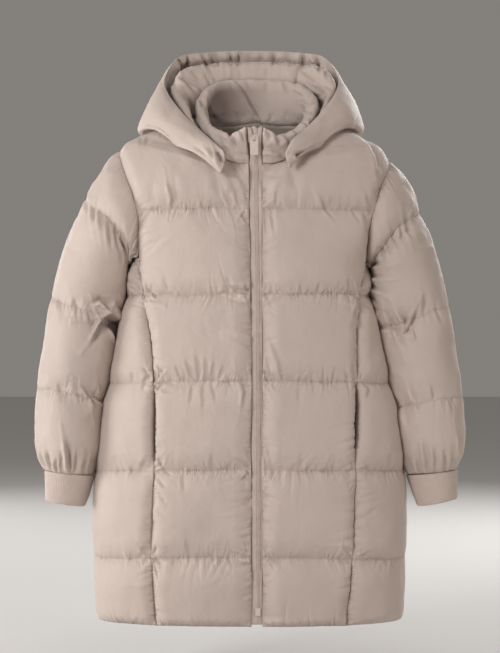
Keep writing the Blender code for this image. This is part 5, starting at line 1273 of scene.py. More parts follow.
FOLDS_HOOD = [
    # the casing seen inside, along the top
    (((190, 54), (186, 70)), 2.6, 2.4, 0.8), (((201, 53), (207, 67)), 3.2, 2.2, 0.9),
    (((209, 52), (214, 66)), 3.2, 2.2, 0.9), (((217, 51), (219, 66)), 3.0, 2.0, -0.9),
    (((229, 49), (231, 65)), 3.6, 2.0, 0.9), (((241, 49), (236, 65)), 4.2, 2.4, 0.9),
    (((250, 51), (251, 64)), 2.2, 2.2, -0.7), (((262, 50), (260, 64)), 2.0, 2.0, 0.7),
    (((272, 49), (272, 65)), 3.2, 2.0, 0.9), (((286, 50), (290, 66)), 2.4, 2.2, 0.8),
    (((303, 51), (301, 68)), 4.0, 2.4, 0.9), (((313, 55), (320, 72)), 3.2, 2.4, 0.9),
    (((324, 60), (327, 78)), 3.0, 2.4, 0.8), (((178, 57), (183, 72)), 4.0, 2.4, 0.9),
    (((168, 74), (175, 88)), 2.6, 2.6, 0.8), (((198, 66), (216, 64), (240, 62)), 1.6, 2.2, 0.6),
    (((258, 62), (286, 63), (306, 67)), 1.6, 2.2, 0.6),
    # the roll above the collar
    (((180, 76), (196, 91)), 2.6, 3, 0.9), (((184, 77), (206, 90)), 2.6, 3, 0.9),
    (((189, 97), (196, 113)), 2.2, 3, 0.8), (((205, 73), (212, 85)), 1.8, 3, 0.6),
    (((192, 71), (200, 78)), 1.6, 2.8, 0.6), (((300, 69), (318, 84)), 2.4, 3, 0.8),
    (((306, 81), (320, 92)), 2.4, 3, 0.8), (((313, 100), (324, 92)), 2.0, 2.6, 0.7),
    (((308, 112), (319, 106)), 2.0, 2.6, 0.7), (((317, 110), (327, 104)), 1.8, 2.6, 0.7),
    (((312, 120), (323, 114)), 1.8, 2.6, 0.7), (((322, 84), (332, 90)), 1.8, 2.6, 0.7),
    (((240, 68), (241, 78)), 1.2, 3, 0.4), (((268, 67), (267, 78)), 1.2, 3, 0.4),
    # the two wings
    (((150, 126), (171, 139)), 1.2, 8, 0.3), (((176, 100), (168, 122)), 1.0, 9, 0.2),
    (((195, 146), (208, 156)), 2.0, 3.4, 0.8), (((205, 145), (217, 159)), 2.0, 3.2, 0.8),
    (((214, 149), (221, 163)), 2.2, 3, 0.8), (((215, 147), (219, 157), (221, 167)), 4.6, 2.2, 0.9), (((209, 146), (214, 154)), 2.4, 2.6, 0.8), (((359, 117), (353, 131)), 1.8, 3.4, 0.6),
    (((330, 118), (318, 141)), 1.0, 8, 0.2), (((318, 146), (306, 152)), 2.0, 3.2, 0.8),
    (((296, 153), (301, 157)), 4.6, 3.4, 0.7), (((290, 152), (287, 158), (289, 166)), 2.4, 2.4, 0.9),
    (((306, 160), (297, 164), (291, 167)), 2.4, 2.6, -0.9), (((308, 150), (302, 152), (297, 151)), 2.0, 2.4, 0.8),
]


def smooth_step(t):
    t = np.clip(t, 0, 1)
    return t * t * (3 - 2 * t)


# painted shade: the cloth beside a pocket slit is darkened through the deep mark, as if in the slit's shadow
def pocket_painted_shade(side, p, d_edge):
    mid, half = (-0.478, 0.062) if side == "l" else (-0.460, 0.058)
    t = np.clip(1 - ((p[..., 2] - mid) / half) ** 2, 0, 1) ** 0.5
    return t * np.exp(-(d_edge / (0.0021 if side == "l" else 0.0032)) ** 2)


def front_piece(side, mat):
    rows, at = seam_rows(FRONT_SEAMS, FRONT_COUNTS)
    share = graded(116, 0.28)
    p, n = front_grid(side, rows, share)
    near, far = near_armhole(side, p)
    keep = (1 - (1 - PRESSED) * under_hood(p) * (rows > 5)) * near
    keep = keep * np.where(rows > 5.2, np.clip(0.1 + physical(p, 0) / 0.045, 0, 1), 1.0)
    across = physical(p, 0)
    d_edge = across[-1:] - across
    dip = pocket_dip(side, p, d_edge, 0.0058 if side == "l" else 0.0072)
    up = physical(p, 1)
    dip = dip + 0.0034 * np.exp(-((up[:, -1:] - up) / 0.011) ** 2) * np.clip((0.100 - across) / 0.02, 0, 1) * (rows > 5)
    h = [0.0118] * 5 + [0.0112]
    X, inner, uv, marks = quilted(
        p, n, at, h, left=0.030, right=0.024, seed=100 if side == "l" else 200,
        keep=keep, extra=dip, gather_left=1.5 if side == "l" else 1.3,
        folds=FOLDS_L if side == "l" else FOLDS_R, shallow=0.0022, stray=0.0010, first=0.018)
    # painted shade along the pocket slit
    marks["deep"] = pocket_painted_shade(side, p, d_edge)
    # the painted seam shade is kept faint along the neck seam
    marks["seam"] = np.where((up[:, -1:] - up < 0.02) & (rows > 5.4), np.maximum(marks["seam"], 0.006), marks["seam"])
    ob = closed_wall(f"front_{side}", X, inner, mat, uv=uv, marks=marks)
    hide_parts(f"front_panel_{side}")
    return ob


def side_piece(side, mat):
    rows, at = seam_rows([0, 1, 2, 3, 4, 5], [54, 62, 62, 62, 32])
    share = graded(60, 0.22)
    p, n = side_grid(side, rows, share)
    near, far = near_armhole(side, p)
    across = physical(p, 0)
    dip = pocket_dip(side, p, across, 0.0058 if side == "l" else 0.0072)
    # towards the side seam the cells run together into one full, even curve
    turn = smooth_step((across / across[-1:] - 0.35) / 0.65)
    fade = smooth_step((UNDERARM[side][1] - p[..., 2] + 0.010) / 0.050)
    lift = 0.0052 * turn * np.where(rows > 4, near * fade, fade) - 0.0012 * np.exp(-((across[-1:] - across) / 0.005) ** 2)
    X, inner, uv, marks = quilted(
        p, n, at, [0.0118] * 5, left=0.022, right=None, pin=(False, True), first=0.018,
        seed=300 if side == "l" else 400, keep=near * (1 - 0.82 * turn), extra=dip, out=np.maximum(lift, 0), shallow=0.0022, stray=0.0010,
        folds=FOLDS_SIDE_L if side == "l" else FOLDS_SIDE_R)
    CLOTH["side_" + side] = X
    # painted shade along the pocket slit
    marks["deep"] = pocket_painted_shade(side, p, across)
    ob = closed_wall(f"side_front_{side}_cloth", X, inner, mat, uv=uv, marks=marks)
    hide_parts(f"side_front_{side}")
    return ob


def back_piece(mat):
    rows, at = seam_rows(FRONT_SEAMS, [38, 40, 40, 40, 40, 42])
    share = graded(170, 0.08)
    p, n = back_grid(rows, share)
    near_l, _ = near_armhole("l", p)
    near_r, _ = near_armhole("r", p)
    near = near_l * near_r
    keep = (1 - (1 - PRESSED) * under_hood(p) * (rows > 5)) * near
    across = physical(p, 0)
    d = np.minimum(across, across[-1:] - across)
    level = UNDERARM["l"][1] * (1 - share[:, None]) + UNDERARM["r"][1] * share[:, None]
    # the panel steps in at the underarms, so nothing that is measured from its edges reaches that level
    turn = (1 - smooth_step(d / 0.085)) * smooth_step((level - p[..., 2] - 0.006) / 0.050)
    lift = 0.0052 * turn * np.where(rows > 4, near, 1.0) - 0.0012 * np.exp(-(d / 0.005) ** 2) * (turn > 0)
    still = np.exp(-((p[..., 2] - level - 0.004) / 0.010) ** 4)
    step = np.diff(p, axis=1)
    step = np.where(p[:, 1:, 2] < SPRING_Z - 0.01, np.abs(step[..., 2]), np.linalg.norm(step, axis=-1))
    up = np.concatenate([np.zeros((len(share), 1)), np.cumsum(step, axis=1)], 1)
    X, inner, uv, marks = quilted(
        p, n, at, [0.0118] * 6, left=None, right=None, pin=(True, True), first=0.018, still=still, up=up, stray=0.0010, seed=500,
        keep=keep * (1 - 0.82 * turn), out=np.maximum(lift, 0))
    CLOTH["back"] = X
    ob = closed_wall("back_cloth", X, inner, mat, uv=uv, marks=marks)
    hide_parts("back_panel")
    return ob


# ------------------------------------------------------------------ sleeves and cuffs
def ring(row, theta, sgn):
    x, y, z, rx, ry, tilt, lift = row[:7]
    t = math.radians(tilt)
    e1 = np.array([sgn * math.cos(t), 0, math.sin(t)])
    up = np.array([-sgn * math.sin(t), 0, math.cos(t)])
    p = np.array([x, y, z]) + np.outer(rx * np.cos(theta), e1)
    return p + np.outer(-ry * np.sin(theta), (0, 1, 0)) + np.outer(lift * np.sin(theta) ** 2, up)


def sleeve_piece(side, mat):
    n_round = 256
    theta = np.linspace(0, 2 * math.pi, n_round, endpoint=False)
    sgn = -1 if side == "l" else 1
    table = SLEEVE_L if side == "l" else SLEEVE_R
    levels, at = seam_rows([0, 1, 3, 5, 7], [34, 62, 62, 62])
    stack = np.array([armhole(side, n_round)] + [ring(row, theta, sgn) for row in table])
    p = np.stack([hermite(np.arange(len(stack)), stack[:, k], levels) for k in range(n_round)], 0)
    p = clear_of_body(side, p, 0.0004, 0.0030)
    n = grid_normals(p, ring_u=True)
    n = n * np.sign((n * (p - p.mean(0))).sum(-1, keepdims=True))
    face = np.sin(theta)[:, None] ** 2
    keep = np.where(levels < 1, 0.85, 0.14)[None, :] * (1 - face) + 1.0 * face
    outer_side = np.clip(np.cos(theta)[:, None], 0, 1)
    lift = (0.0040 * outer_side ** 0.8 + 0.0015 * (1 - outer_side)) * (1 - face) * smooth_step((levels - 0.5) / 1.5)[None, :] \
        * crown(physical(p, 1)[:, -1:] - physical(p, 1), 0.030, 0.7)
    grid = body_reach(side)
    X, inner, uv, marks = quilted(
        p, n, at, [0.0115] * 4, left=None, right=None, ring=True, seed=600 if side == "l" else 700,
        keep=keep, gather=1.9, reach_low=0.036, reach_high=0.050, lining=0.002, out=lift, shallow=0.0052, stray=0.0050, bold=1.8,
        folds=FOLDS_SLEEVE_L if side == "l" else FOLDS_SLEEVE_R, wave=0.018,
        after=lambda q: clear_of_cloth(side, q, grid))
    ob = closed_wall(f"sleeve_{side}_cloth", X, inner, mat, ring=True, uv=uv, marks=marks, step=4)
    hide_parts(f"sleeve_{side}")
    return ob


def cuff_piece(side, mat):
    ribs, per = 84, 5
    n_round = ribs * per
    theta = np.linspace(0, 2 * math.pi, n_round, endpoint=False)
    sgn = -1 if side == "l" else 1
    table = CUFF_L if side == "l" else CUFF_R
    level = np.linspace(0, 2, 27)
    rings = np.array([ring((*row, 0.0), theta, sgn) for row in table])
    p = np.stack([hermite(np.arange(3), rings[:, k], level) for k in range(n_round)], 0)
    n = grid_normals(p, ring_u=True)
    n = n * np.sign((n * (p - p.mean(0))).sum(-1, keepdims=True))
    wave = np.cos(theta * ribs)[:, None] * np.ones((1, len(level)))
    end = np.minimum(level, 2 - level)[None, :]
    soft = np.clip(end / 0.10, 0, 1) ** 0.5
    p = p + n * (0.0009 * noise(p, 0.030, 31) + 0.0004 * noise(p, 0.012, 32))[..., None] * soft[..., None]
    outer = p + n * (0.0007 + 0.0010 * soft + 0.00034 * wave * soft)[..., None]
    inner = p - n * (0.0004 + 0.0008 * soft)[..., None]
    uv = np.stack([physical(p, 0), physical(p, 1)], -1)
    ob = closed_wall(f"cuff_{side}_rib", outer, inner, mat, ring=True, step=5, uv=uv, marks={"rib": 0.5 + 0.5 * wave})
    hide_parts(f"cuff_{side}")
    return ob


# ------------------------------------------------------------------ collar
def neck_seam(u):
    zx = float(body(SPRING_Z)[2])
    front_l, front_r = zx - NECK_FRONT[:, 0], zx + NECK_FRONT[:, 0]
    front_l[0], front_r[0] = zip_edge("l", NECK_FRONT[0, 1]), zip_edge("r", NECK_FRONT[0, 1])
    left = torso(front_l, NECK_FRONT[:, 1])
    back_l = torso(zx - NECK_BACK[:, 0], NECK_BACK[:, 1], back=True)
    back_r = torso(zx + NECK_BACK[::-1, 0], NECK_BACK[::-1, 1], back=True)
    right = torso(front_r[::-1], NECK_FRONT[::-1, 1])
    return along(np.vstack([left[:-1], back_l[:-1], back_r[:-1], right]), u)


def closed_curve(points, n):
    """n points evenly along a smooth closed curve through points."""
    pts = np.asarray(points, float)
    k = len(pts)
    t = np.linspace(0, k, k * 24, endpoint=False)
    i = np.floor(t).astype(int)
    f = (t - i)[:, None]
    a, b, c, d = (pts[(i + m) % k] for m in (-1, 0, 1, 2))
    q = 0.5 * (2 * b + (c - a) * f + (2 * a - 5 * b + 4 * c - d) * f**2 + (3 * b - a - 3 * c + d) * f**3)
    loop = np.vstack([q, q[:1]])
    length = np.r_[0, np.cumsum(np.linalg.norm(np.diff(loop, axis=0), axis=1))]
    want = np.linspace(0, length[-1], n, endpoint=False)
    return np.stack([np.interp(want, length, loop[:, m]) for m in range(2)], -1)


def collar_piece(mat):
    nu, nv = 290, 96
    u = graded(nu - 1, 0.10)
    low = neck_seam(u)
    top = hermite(COLLAR_TOP[:, 0], COLLAR_TOP[:, 1:], u)
    for k in range(3):
        low[:, k] = smooth_line(low[:, k], 3)
    tangent = unit(np.gradient(low, axis=0) + np.gradient(top, axis=0))
    rise = unit(top - low)
    out = unit(np.cross(tangent, rise))
    out = out * np.sign(((low - low.mean(0)) * out).sum(-1, keepdims=True))
    height = np.linalg.norm(top - low, axis=1)
    # the section is taken at the wall's real proportions, so that its ends are round
    section = [(0.00, 0.20), (0.05, 0.35), (0.26, 0.46), (0.58, 0.54), (0.86, 0.44), (0.985, 0.20), (1.0, 0.0),
               (0.985, -0.20), (0.86, -0.40), (0.58, -0.46), (0.24, -0.40), (0.05, -0.28), (0.00, -0.10)]
    sec = closed_curve([(a * 4.2, b) for a, b in section], nv)
    sec[:, 0] /= 4.2
    end = np.minimum(u, 1 - u)
    thin = np.clip(end / 0.025, 0, 1)
    wall = 0.008 + 0.011 * np.sqrt(thin)
    wall = wall + 0.005 * np.exp(-((u - 0.74) / 0.10) ** 2)
    a, b = sec[:, 0], sec[:, 1]
    start = 0.0010 - 0.0034 * np.clip((b - 0.05) / 0.10, 0, 1)[None, :, None]
    # the wall is fuller on its inside where it turns from the sides into the back
    fuller = 0.0080 * np.exp(-((u - 0.30) / 0.085) ** 2) + 0.0120 * np.exp(-((u - 0.385) / 0.050) ** 2) \
        + 0.0085 * np.exp(-((u - 0.645) / 0.050) ** 2)
    inside = np.clip(-b / 0.40, 0, 1) * np.clip(1.25 - a, 0, 1)
    T = (low[:, None] + rise[:, None] * (start + (height[:, None, None] - start) * a[None, :, None])
         + out[:, None] * (wall[:, None, None] * b[None, :, None] - fuller[:, None, None] * inside[None, :, None]))
    centre = T.mean(1, keepdims=True)
    n = grid_normals(T, ring_v=True)
    n = n * np.sign((n * (T - centre)).sum(-1, keepdims=True))
    su = physical(T, 0)
    A, Bv = a[None, :] * np.ones((nu, 1)), b[None, :] * np.ones((nu, 1))
    d_top = np.clip(1 - A, 0, 1) * height[:, None]
    d_low = np.clip(A, 0, 1) * height[:, None]
    outside = Bv > 0
    away = np.clip(d_low / 0.010, 0, 1)
    lump = 0.0014 * noise(T, 0.040, 91) + 0.0008 * noise(T, 0.020, 92)
    near_zip = 1 + 1.2 * np.exp(-(end[:, None] * 0.42) / 0.030)
    roll = 1 + 0.9 * np.exp(-((u - 0.76) / 0.12) ** 2)[:, None]
    face = np.where(outside, 1.0, 0.6)
    g = 0.0015 * (0.4 + patch(su, 1.0 + outside, 95, 0.040)) * gathers(su, d_low, 1.0 + outside, 98, 0.012, 0.020)
    g = g + 0.0015 * roll * (0.4 + patch(su, 3.0, 96, 0.035)) * gathers(su, d_top, 3.0, 99, 0.011, 0.018)
    T = T + n * ((lump + g * face * near_zip) * away + 1.7 * press(T, n, FOLDS_COLLAR, 0.0, 1.4) * np.clip(d_low / 0.006, 0, 1))[..., None]
    crest = np.exp(-(d_top / 0.010) ** 2)
    nick = -0.0045 * np.exp(-((T[..., 0] + 0.0375) / 0.0035) ** 2) * (T[..., 1] < 0) - 0.0035 * np.exp(-((T[..., 0] - 0.0410) / 0.0035) ** 2) * (T[..., 1] < 0) \
        - 0.0030 * np.exp(-((T[..., 0] + 0.0700) / 0.0050) ** 2) * (T[..., 1] > 0.02) - 0.0030 * np.exp(-((T[..., 0] - 0.0760) / 0.0050) ** 2) * (T[..., 1] > 0.02)
    T[..., 2] += crest * (nick + 0.0016 * noise(T, 0.024, 193) + 0.0009 * noise(T, 0.010, 194))
    free = np.where(A < 0.035, 0.0, 1.0)
    eu = 0.045 * patch(su, 1.0, 95, 0.040) * np.exp(-d_low / 0.020) + 0.04 * roll * patch(su, 2.0, 96, 0.035) * np.exp(-d_top / 0.022)
    eu = eu * face
    ev = 0.01 + 0.02 * patch(physical(T, 1), 3.0, 97, 0.05) * np.exp(-end[:, None] / 0.05)
    kick = 0.0004 * noise(T, 0.012, 94)
    free[0] = 0.3
    free[-1] = 0.3
    X = relax(T, n, free, eu, ev, kick, np.full((nu, nv), 0.003), ring_v=True, steps=70, hold=0.02, bend=0.015, most=0.004)
    seam = np.clip(d_low, 0, 0.02)
    uv = np.stack([su, physical(T, 1)], -1)
    # painted shade: the collar's inside, away from its top edge, is darkened through the deep mark, most towards the
    # left
    painted_shade = np.clip((-Bv - 0.12) / 0.25, 0, 1) * np.clip((d_top - 0.002) / 0.022, 0, 1)
    painted_shade = painted_shade * np.clip(0.49 - 9.3 * (T[..., 0] + 0.008), 0.12, 1.0)
    # the seam mark is raised here so that the collar's painted seam shade stays faint
    ob = loop_wall("collar_cloth", X, mat, uv=uv, marks={"seam": seam + 0.004, "run": su, "edge": 0.05 + 0 * seam, "deep": painted_shade})
    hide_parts("collar")
    return ob


def smooth_line(v, times):
    v = v.copy()
    for _ in range(times):
        v[1:-1] = 0.25 * v[:-2] + 0.5 * v[1:-1] + 0.25 * v[2:]
    return v


# ------------------------------------------------------------------ hood
def hood_sections(t):
    half = HOOD[:, :18].reshape(len(HOOD), 6, 3)
    other = half[:-1][::-1].copy()
    for k, m in enumerate(HOOD_MIRROR):
        other[:, k, 0] = 2 * m - other[:, k, 0]
    full = np.concatenate([half, other])
    wall = np.concatenate([HOOD[:, 18], HOOD[:-1, 18][::-1]])
    full[0] += TIP_LEFT
    full[-1] += TIP_RIGHT
    n = np.arange(len(full))
    pts = hermite(n, full.reshape(len(full), -1), t).reshape(-1, 6, 3)
    return pts, hermite(n, wall, t)


def over_yoke(p, wall, keep=0.0094):
    x, y, z = p[..., 0], p[..., 1], p[..., 2]
    left, right, zx, front, rear = [float(q) for q in body(np.array(SPRING_Z))]
    half = np.where(x < zx, zx - left, right - zx)
    deep = (1 - np.clip(np.abs(x - zx) / half, 0, 1) ** ROUND) ** (1 / ROUND)
    reach = np.where(y < SHOULDER_Y, SHOULDER_Y + front * deep, rear * deep - SHOULDER_Y)
    share = np.clip(np.abs(y - SHOULDER_Y) / np.maximum(reach, 1e-6), 0, 1)
    top = SPRING_Z + (shoulder_z(x, zx) - SPRING_Z) * np.sqrt(1 - share ** 2)
    steep = np.clip(share, 0, 0.9)
    need = (keep + np.asarray(wall)[..., None] * 0.5) / np.sqrt(1 - steep ** 2)
    out = p.copy()
    out[..., 2] = np.where(share < 1, np.maximum(z, top + need), z)
    return out


CASING = 0.021   # width of the stitched casing along the hood's rim, on its inner face


def soften(v, times, axis):
    v = np.moveaxis(v.copy(), axis, 0)
    for _ in range(times):
        v[1:-1] = 0.25 * v[:-2] + 0.5 * v[1:-1] + 0.25 * v[2:]
    return np.moveaxis(v, 0, axis)


def hood_piece(mat):
    last = 2 * (len(HOOD) - 1)
    t = np.linspace(0, last, 281)
    m = 138                                    # points across one face
    s_face = np.linspace(0, 1, m)
    step = 0.05

    def mid(u):
        pts, wall = hood_sections(u)
        end = np.clip(np.minimum(u, last - u) / 0.16, 0, 1)
        tight = np.where(u < last / 2, 0.72, 0.42) + np.where(u < last / 2, 0.28, 0.58) * np.sqrt(1 - (1 - end) ** 2)
        return over_yoke(np.stack([along(q, 0.5 + (s_face - 0.5) * k) for q, k in zip(pts, tight)]), wall), wall

    grid, wall = mid(t)
    du = mid(np.clip(t + step, 0, last))[0] - mid(np.clip(t - step, 0, last))[0]
    dv = np.gradient(grid, axis=1)
    n = unit(np.cross(du, dv))
    n = n * np.sign((n[:, -12] * (grid[:, -12] - grid.mean(1))).sum(-1)).mean()
    n = unit(soften(soften(n, 3, 0), 3, 1))
    length = physical(grid, 1)
    from_neck, from_rim = length, length[:, -1:] - length
    # how tightly the section bends, so that the cloth inside a bend isn't offset past its centre
    tangent = unit(dv)
    per = np.gradient(length, axis=1)
    curl = (np.gradient(tangent, axis=1) / per[..., None] * n).sum(-1)
    curl = soften(curl, 6, 1)
    seam_t = np.minimum(np.abs(t - HOOD_SEAM), np.abs(t - (last - HOOD_SEAM)))
    d_seam = seam_t[:, None] * 0.052 * np.ones((1, m))
    size = np.clip(wall[:, None] / 0.013, 0.3, 1)
    casing = CASING * size
    full = wall[:, None] * (0.30 + 0.70 * crown(from_neck, 0.030, 0.6)) * (0.30 + 0.70 * crown(d_seam, 0.020, 0.6))
    w_out = np.maximum(full * crown(from_rim, 0.020 * size, 0.5), 0.0022)
    rim_w = 0.0115 * size * np.sqrt(np.clip(1 - ((from_rim - casing * 0.5) / (casing * 0.5)) ** 2, 0, 1))
    w_in = np.where(from_rim > casing, full * crown(from_rim - casing, 0.026 * size, 0.6), rim_w)
    w_in = np.maximum(w_in, 0.0022)
    # the padding stands out most inside the rim on both sides of the head
    side_full = np.exp(-((t - 5.1) / 0.85) ** 2) + np.exp(-((t - (last - 5.1)) / 0.85) ** 2)
    w_in = w_in + 2 * 0.021 * side_full[:, None] * np.exp(-((from_rim - 0.022) / 0.016) ** 2)
    off_out = np.minimum(w_out * 0.5, 0.72 / np.maximum(curl, 1e-3))
    off_in = np.minimum(w_in * 0.5, 0.72 / np.maximum(-curl, 1e-3))
    off_out, off_in = soften(off_out, 2, 1), soften(off_in, 2, 1)
    outer, inner = grid + n * off_out[..., None], grid - n * off_in[..., None]
    zero = 0 * wall
    lift = np.maximum(over_yoke(outer, zero)[..., 2] - outer[..., 2], over_yoke(inner, zero)[..., 2] - inner[..., 2])
    lift = soften(soften(lift, 10, 0), 10, 1)
    outer[..., 2] += lift
    inner[..., 2] += lift
    # one loop round the section: outer face up to the rim, over it, and back down the inner face
    cap_n = 5
    ang = np.linspace(-90, 90, cap_n + 2)[1:-1] * math.pi / 180
    tip_dir = unit(grid[:, -1] - grid[:, -4])
    r_tip = 0.0011
    rim = grid[:, -1].copy()
    rim[:, 2] += lift[:, -1]
    tip = [rim + tip_dir * (r_tip * math.cos(a)) + n[:, -1] * (-r_tip * math.sin(a)) for a in ang]
    loop = np.concatenate([outer, np.stack(tip, 1), inner[:, ::-1]], 1)
    normal = np.concatenate([n, np.stack([unit(tip_dir * math.cos(a) - n[:, -1] * math.sin(a)) for a in ang], 1), -n[:, ::-1]], 1)
    both = lambda q: np.concatenate([q, np.repeat(q[:, -1:], cap_n, 1), q[:, ::-1]], 1)
    face_in = np.concatenate([np.zeros((len(t), m)), np.full((len(t), cap_n), 0.5), np.ones((len(t), m))], 1)
    d_rim, d_neck, d_sm = both(from_rim), both(from_neck), both(d_seam)
    d_case = np.where(face_in > 0.6, both(np.abs(from_rim - casing)), 0.05)
    W = both(off_out + off_in)
    su = both(physical(grid, 0))
    sv = both(length)
    soft = np.clip((W - 0.003) / 0.008, 0, 1)
    lump = soft * (0.0016 * noise(loop, 0.070, 81) + 0.0007 * noise(loop, 0.032, 82))
    cell = 1.0 + 2.0 * face_in
    g = 0.0021 * face_in * (0.4 + patch(su, cell, 85, 0.050)) * gathers(su, d_case, cell, 84, 0.013, 0.018)
    g = g + 0.0008 * (0.3 + patch(su, cell + 4, 86, 0.050)) * gathers(su, d_rim, cell + 4, 83, 0.014, 0.014) * (0.3 + 0.7 * face_in)
    g = g + 0.0012 * (0.4 + patch(su, cell + 8, 87, 0.050)) * gathers(su, d_neck, cell + 8, 80, 0.017, 0.030)
    g = g + 0.0011 * (0.4 + patch(sv, cell + 2, 88, 0.045)) * gathers(sv, d_sm, cell + 2, 79, 0.016, 0.022)
    T = loop + normal * (lump + g * np.clip(W / 0.006, 0.15, 1) + 1.9 * press(loop, normal, FOLDS_HOOD, 0.25, 1.25) * np.clip(W / 0.008, 0.2, 1))[..., None]
    on_stitch = (d_case < 0.0022) | (d_sm < 0.0016) | (d_neck < 0.002)
    free = np.where(on_stitch, 0.15, np.clip(W / 0.008, 0.08, 1.0))
    eu = 0.004 + 0.05 * face_in * patch(su, cell, 85, 0.050) * np.exp(-d_case / 0.016)
    eu = eu + 0.03 * patch(su, cell + 8, 87, 0.050) * np.exp(-d_neck / 0.030)
    ev = 0.004 + 0.035 * patch(sv, cell + 2, 88, 0.04) * np.exp(-d_sm / 0.016)
    kick = 0.0003 * noise(loop, 0.014, 89)
    X = relax(T, normal, free, eu, ev, kick, np.minimum(W * 0.35, 0.003), ring_v=True, steps=60, hold=0.03,
              slide=0.03, bend=0.012, most=0.004)
    seam = np.minimum(np.minimum(d_case, d_sm), d_neck)
    uv = np.stack([su, sv], -1)
    ob = loop_wall("hood_cloth", X, mat, uv=uv, marks={"seam": np.clip(seam, 0, 0.02), "run": np.where(d_sm < d_case, sv, su), "edge": 0.05 + 0 * seam})
    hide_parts("hood_side_l", "hood_centre", "hood_side_r")
    return ob


# ------------------------------------------------------------------ zip
def front_line(z_list, offset):
    z_list = np.asarray(z_list, float)
    zx = body(z_list)[2]
    p = torso(zx, np.where(z_list > SPRING_Z, pattern_height(zx, z_list), z_list))
    p[:, 1] += offset
    return p


ZIP_Z = (-0.8125, -0.797, -0.70, -0.56, -0.42, -0.28, -0.16, -0.09, -0.032)


def zip_spine():
    low = front_line(ZIP_Z, ZIP_DEEP)
    top = np.array([SLIDER_AT[0], -0.1005, SLIDER_AT[1] - 0.006])
    return np.vstack([low, (low[-1] * 0.45 + top * 0.55)[None], top[None]])


def strip_piece(name, left, right, thick, mat, columns=5, crown_up=0.0, wave=0.0, seed=1):
    """Woven strip between two lines, a little wavy, with a soft crown."""
    s = np.linspace(0, 1, columns)
    p = left[None] * (1 - s[:, None, None]) + right[None] * s[:, None, None]
    up = physical(p, 1)
    lift = crown_up * (1 - (2 * s - 1) ** 2)[:, None] + wave * noise2(up / 0.030, s[:, None] * 0.8, seed)
    p = p + lift[..., None] * np.array((0, -1.0, 0))
    back = p + np.array((0, thick, 0))
    uv = np.stack([physical(p, 0), up], -1)
    return closed_wall(name, p, back, mat, step=1, uv=uv, marks={"seam": 0.02 + 0 * up, "run": up})


def zip_pieces(tape, coil):
    spine = zip_spine()
    half = 0.0031
    sx = np.array([1.0, 0, 0])
    z = spine[:, 2]
    wide_l = spine[:, 0] - zip_edge("l", np.minimum(z, -0.05))
    wide_r = zip_edge("r", np.minimum(z, -0.05)) - spine[:, 0]
    wide_l[-2:], wide_r[-2:] = 0.0095, 0.0098
    top_l = np.array([(-0.0052, -0.1003, 0.0160), (-0.0078, -0.1003, 0.0290)])
    top_r = np.array([(0.0152, -0.1003, 0.0160), (0.0168, -0.1003, 0.0290)])
    under = np.array((0, 0.0012, 0))
    in_l = np.vstack([spine - 0.00012 * sx + under, top_l + (0.0062, 0, 0)])
    out_l = np.vstack([spine - (wide_l - 0.0002)[:, None] * sx, top_l - (0.0010, 0, 0)])
    in_r = np.vstack([spine + 0.00012 * sx + under, top_r - (0.0062, 0, 0)])
    out_r = np.vstack([spine + (wide_r - 0.0002)[:, None] * sx, top_r + (0.0010, 0, 0)])

    def fine(q, n=300):
        return along(q, np.linspace(0, 1, n))

    obs = []
    for name, a, b, seed, nd in (("tape_left", out_l, in_l, 11, "zip_tape_l"), ("tape_right", in_r, out_r, 12, "zip_tape_r")):
        ob = strip_piece(name, fine(a), fine(b), 0.0009, tape, 7, 0.0002, 0.00035, seed)
        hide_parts(nd)
        obs.append(ob)
    # closed coil: two rows of close turns that meet in the middle
    line = fine(spine[1:], 2)
    total = np.linalg.norm(np.diff(along(spine[1:], np.linspace(0, 1, 400)), axis=0), axis=1).sum()
    turns = int(total / 0.0022)
    per = 4
    n = turns * per + 1
    centre = along(spine[1:], np.linspace(0, 1, n))
    phase = np.arange(n) / per
    cols = np.array((-1.0, -0.82, -0.45, -0.12, 0.0, 0.12, 0.45, 0.82, 1.0))
    width = cols * half
    shape = np.array((0.0, 0.55, 1.0, 0.80, 0.25, 0.80, 1.0, 0.55, 0.0))
    side_shift = np.where(cols < 0, 0.0, 0.5)
    bump = 0.5 + 0.5 * np.cos(2 * math.pi * (phase[None, :] - side_shift[:, None] + np.abs(cols)[:, None] * 0.25))
    lift = shape[:, None] * (0.0007 + 0.0005 * bump)
    p = centre[None] + width[:, None, None] * sx + lift[..., None] * np.array((0, -1.0, 0))
    back = centre[None] + width[:, None, None] * sx + np.array((0, 0.0007, 0))
    ob = closed_wall("coil_closed", p, back, coil, step=1, uv=np.stack([physical(p, 0), physical(p, 1)], -1))
    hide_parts("zip_coil")
    obs.append(ob)
    return obs


def guard_piece(mat):
    """The soft guard between the two collar ends, above the slider."""
    cols, rows = 26, 24
    x = np.linspace(-0.0070, 0.0180, cols)[:, None] * np.ones((1, rows))
    z = 0.0040 + (0.0262 + 0.0016 * np.sin(x * 500)) * np.linspace(0, 1, rows)[None, :]
    rise = np.linspace(0, 1, rows)[None, :] * np.ones((cols, 1))
    fold = 1.5 * np.abs(noise2((x + 0.35 * (z - 0.02)) / 0.0062, rise * 1.3, 404)) ** 0.8 - 0.5
    y = -0.0968 - 0.0018 * fold * (0.35 + 0.65 * rise) - 0.0016 * np.sin(np.pi * (x + 0.007) / 0.025)
    p = np.stack([x, y, z], -1)
    back = p + np.array((0, 0.0016, 0))
    up = physical(p, 1)
    ob = closed_wall("zip_guard", p, back, mat, step=1, uv=np.stack([physical(p, 0), up], -1),
                     marks={"seam": 0.02 + 0 * up, "run": up, "edge": 0.05 + 0 * up})
    return ob


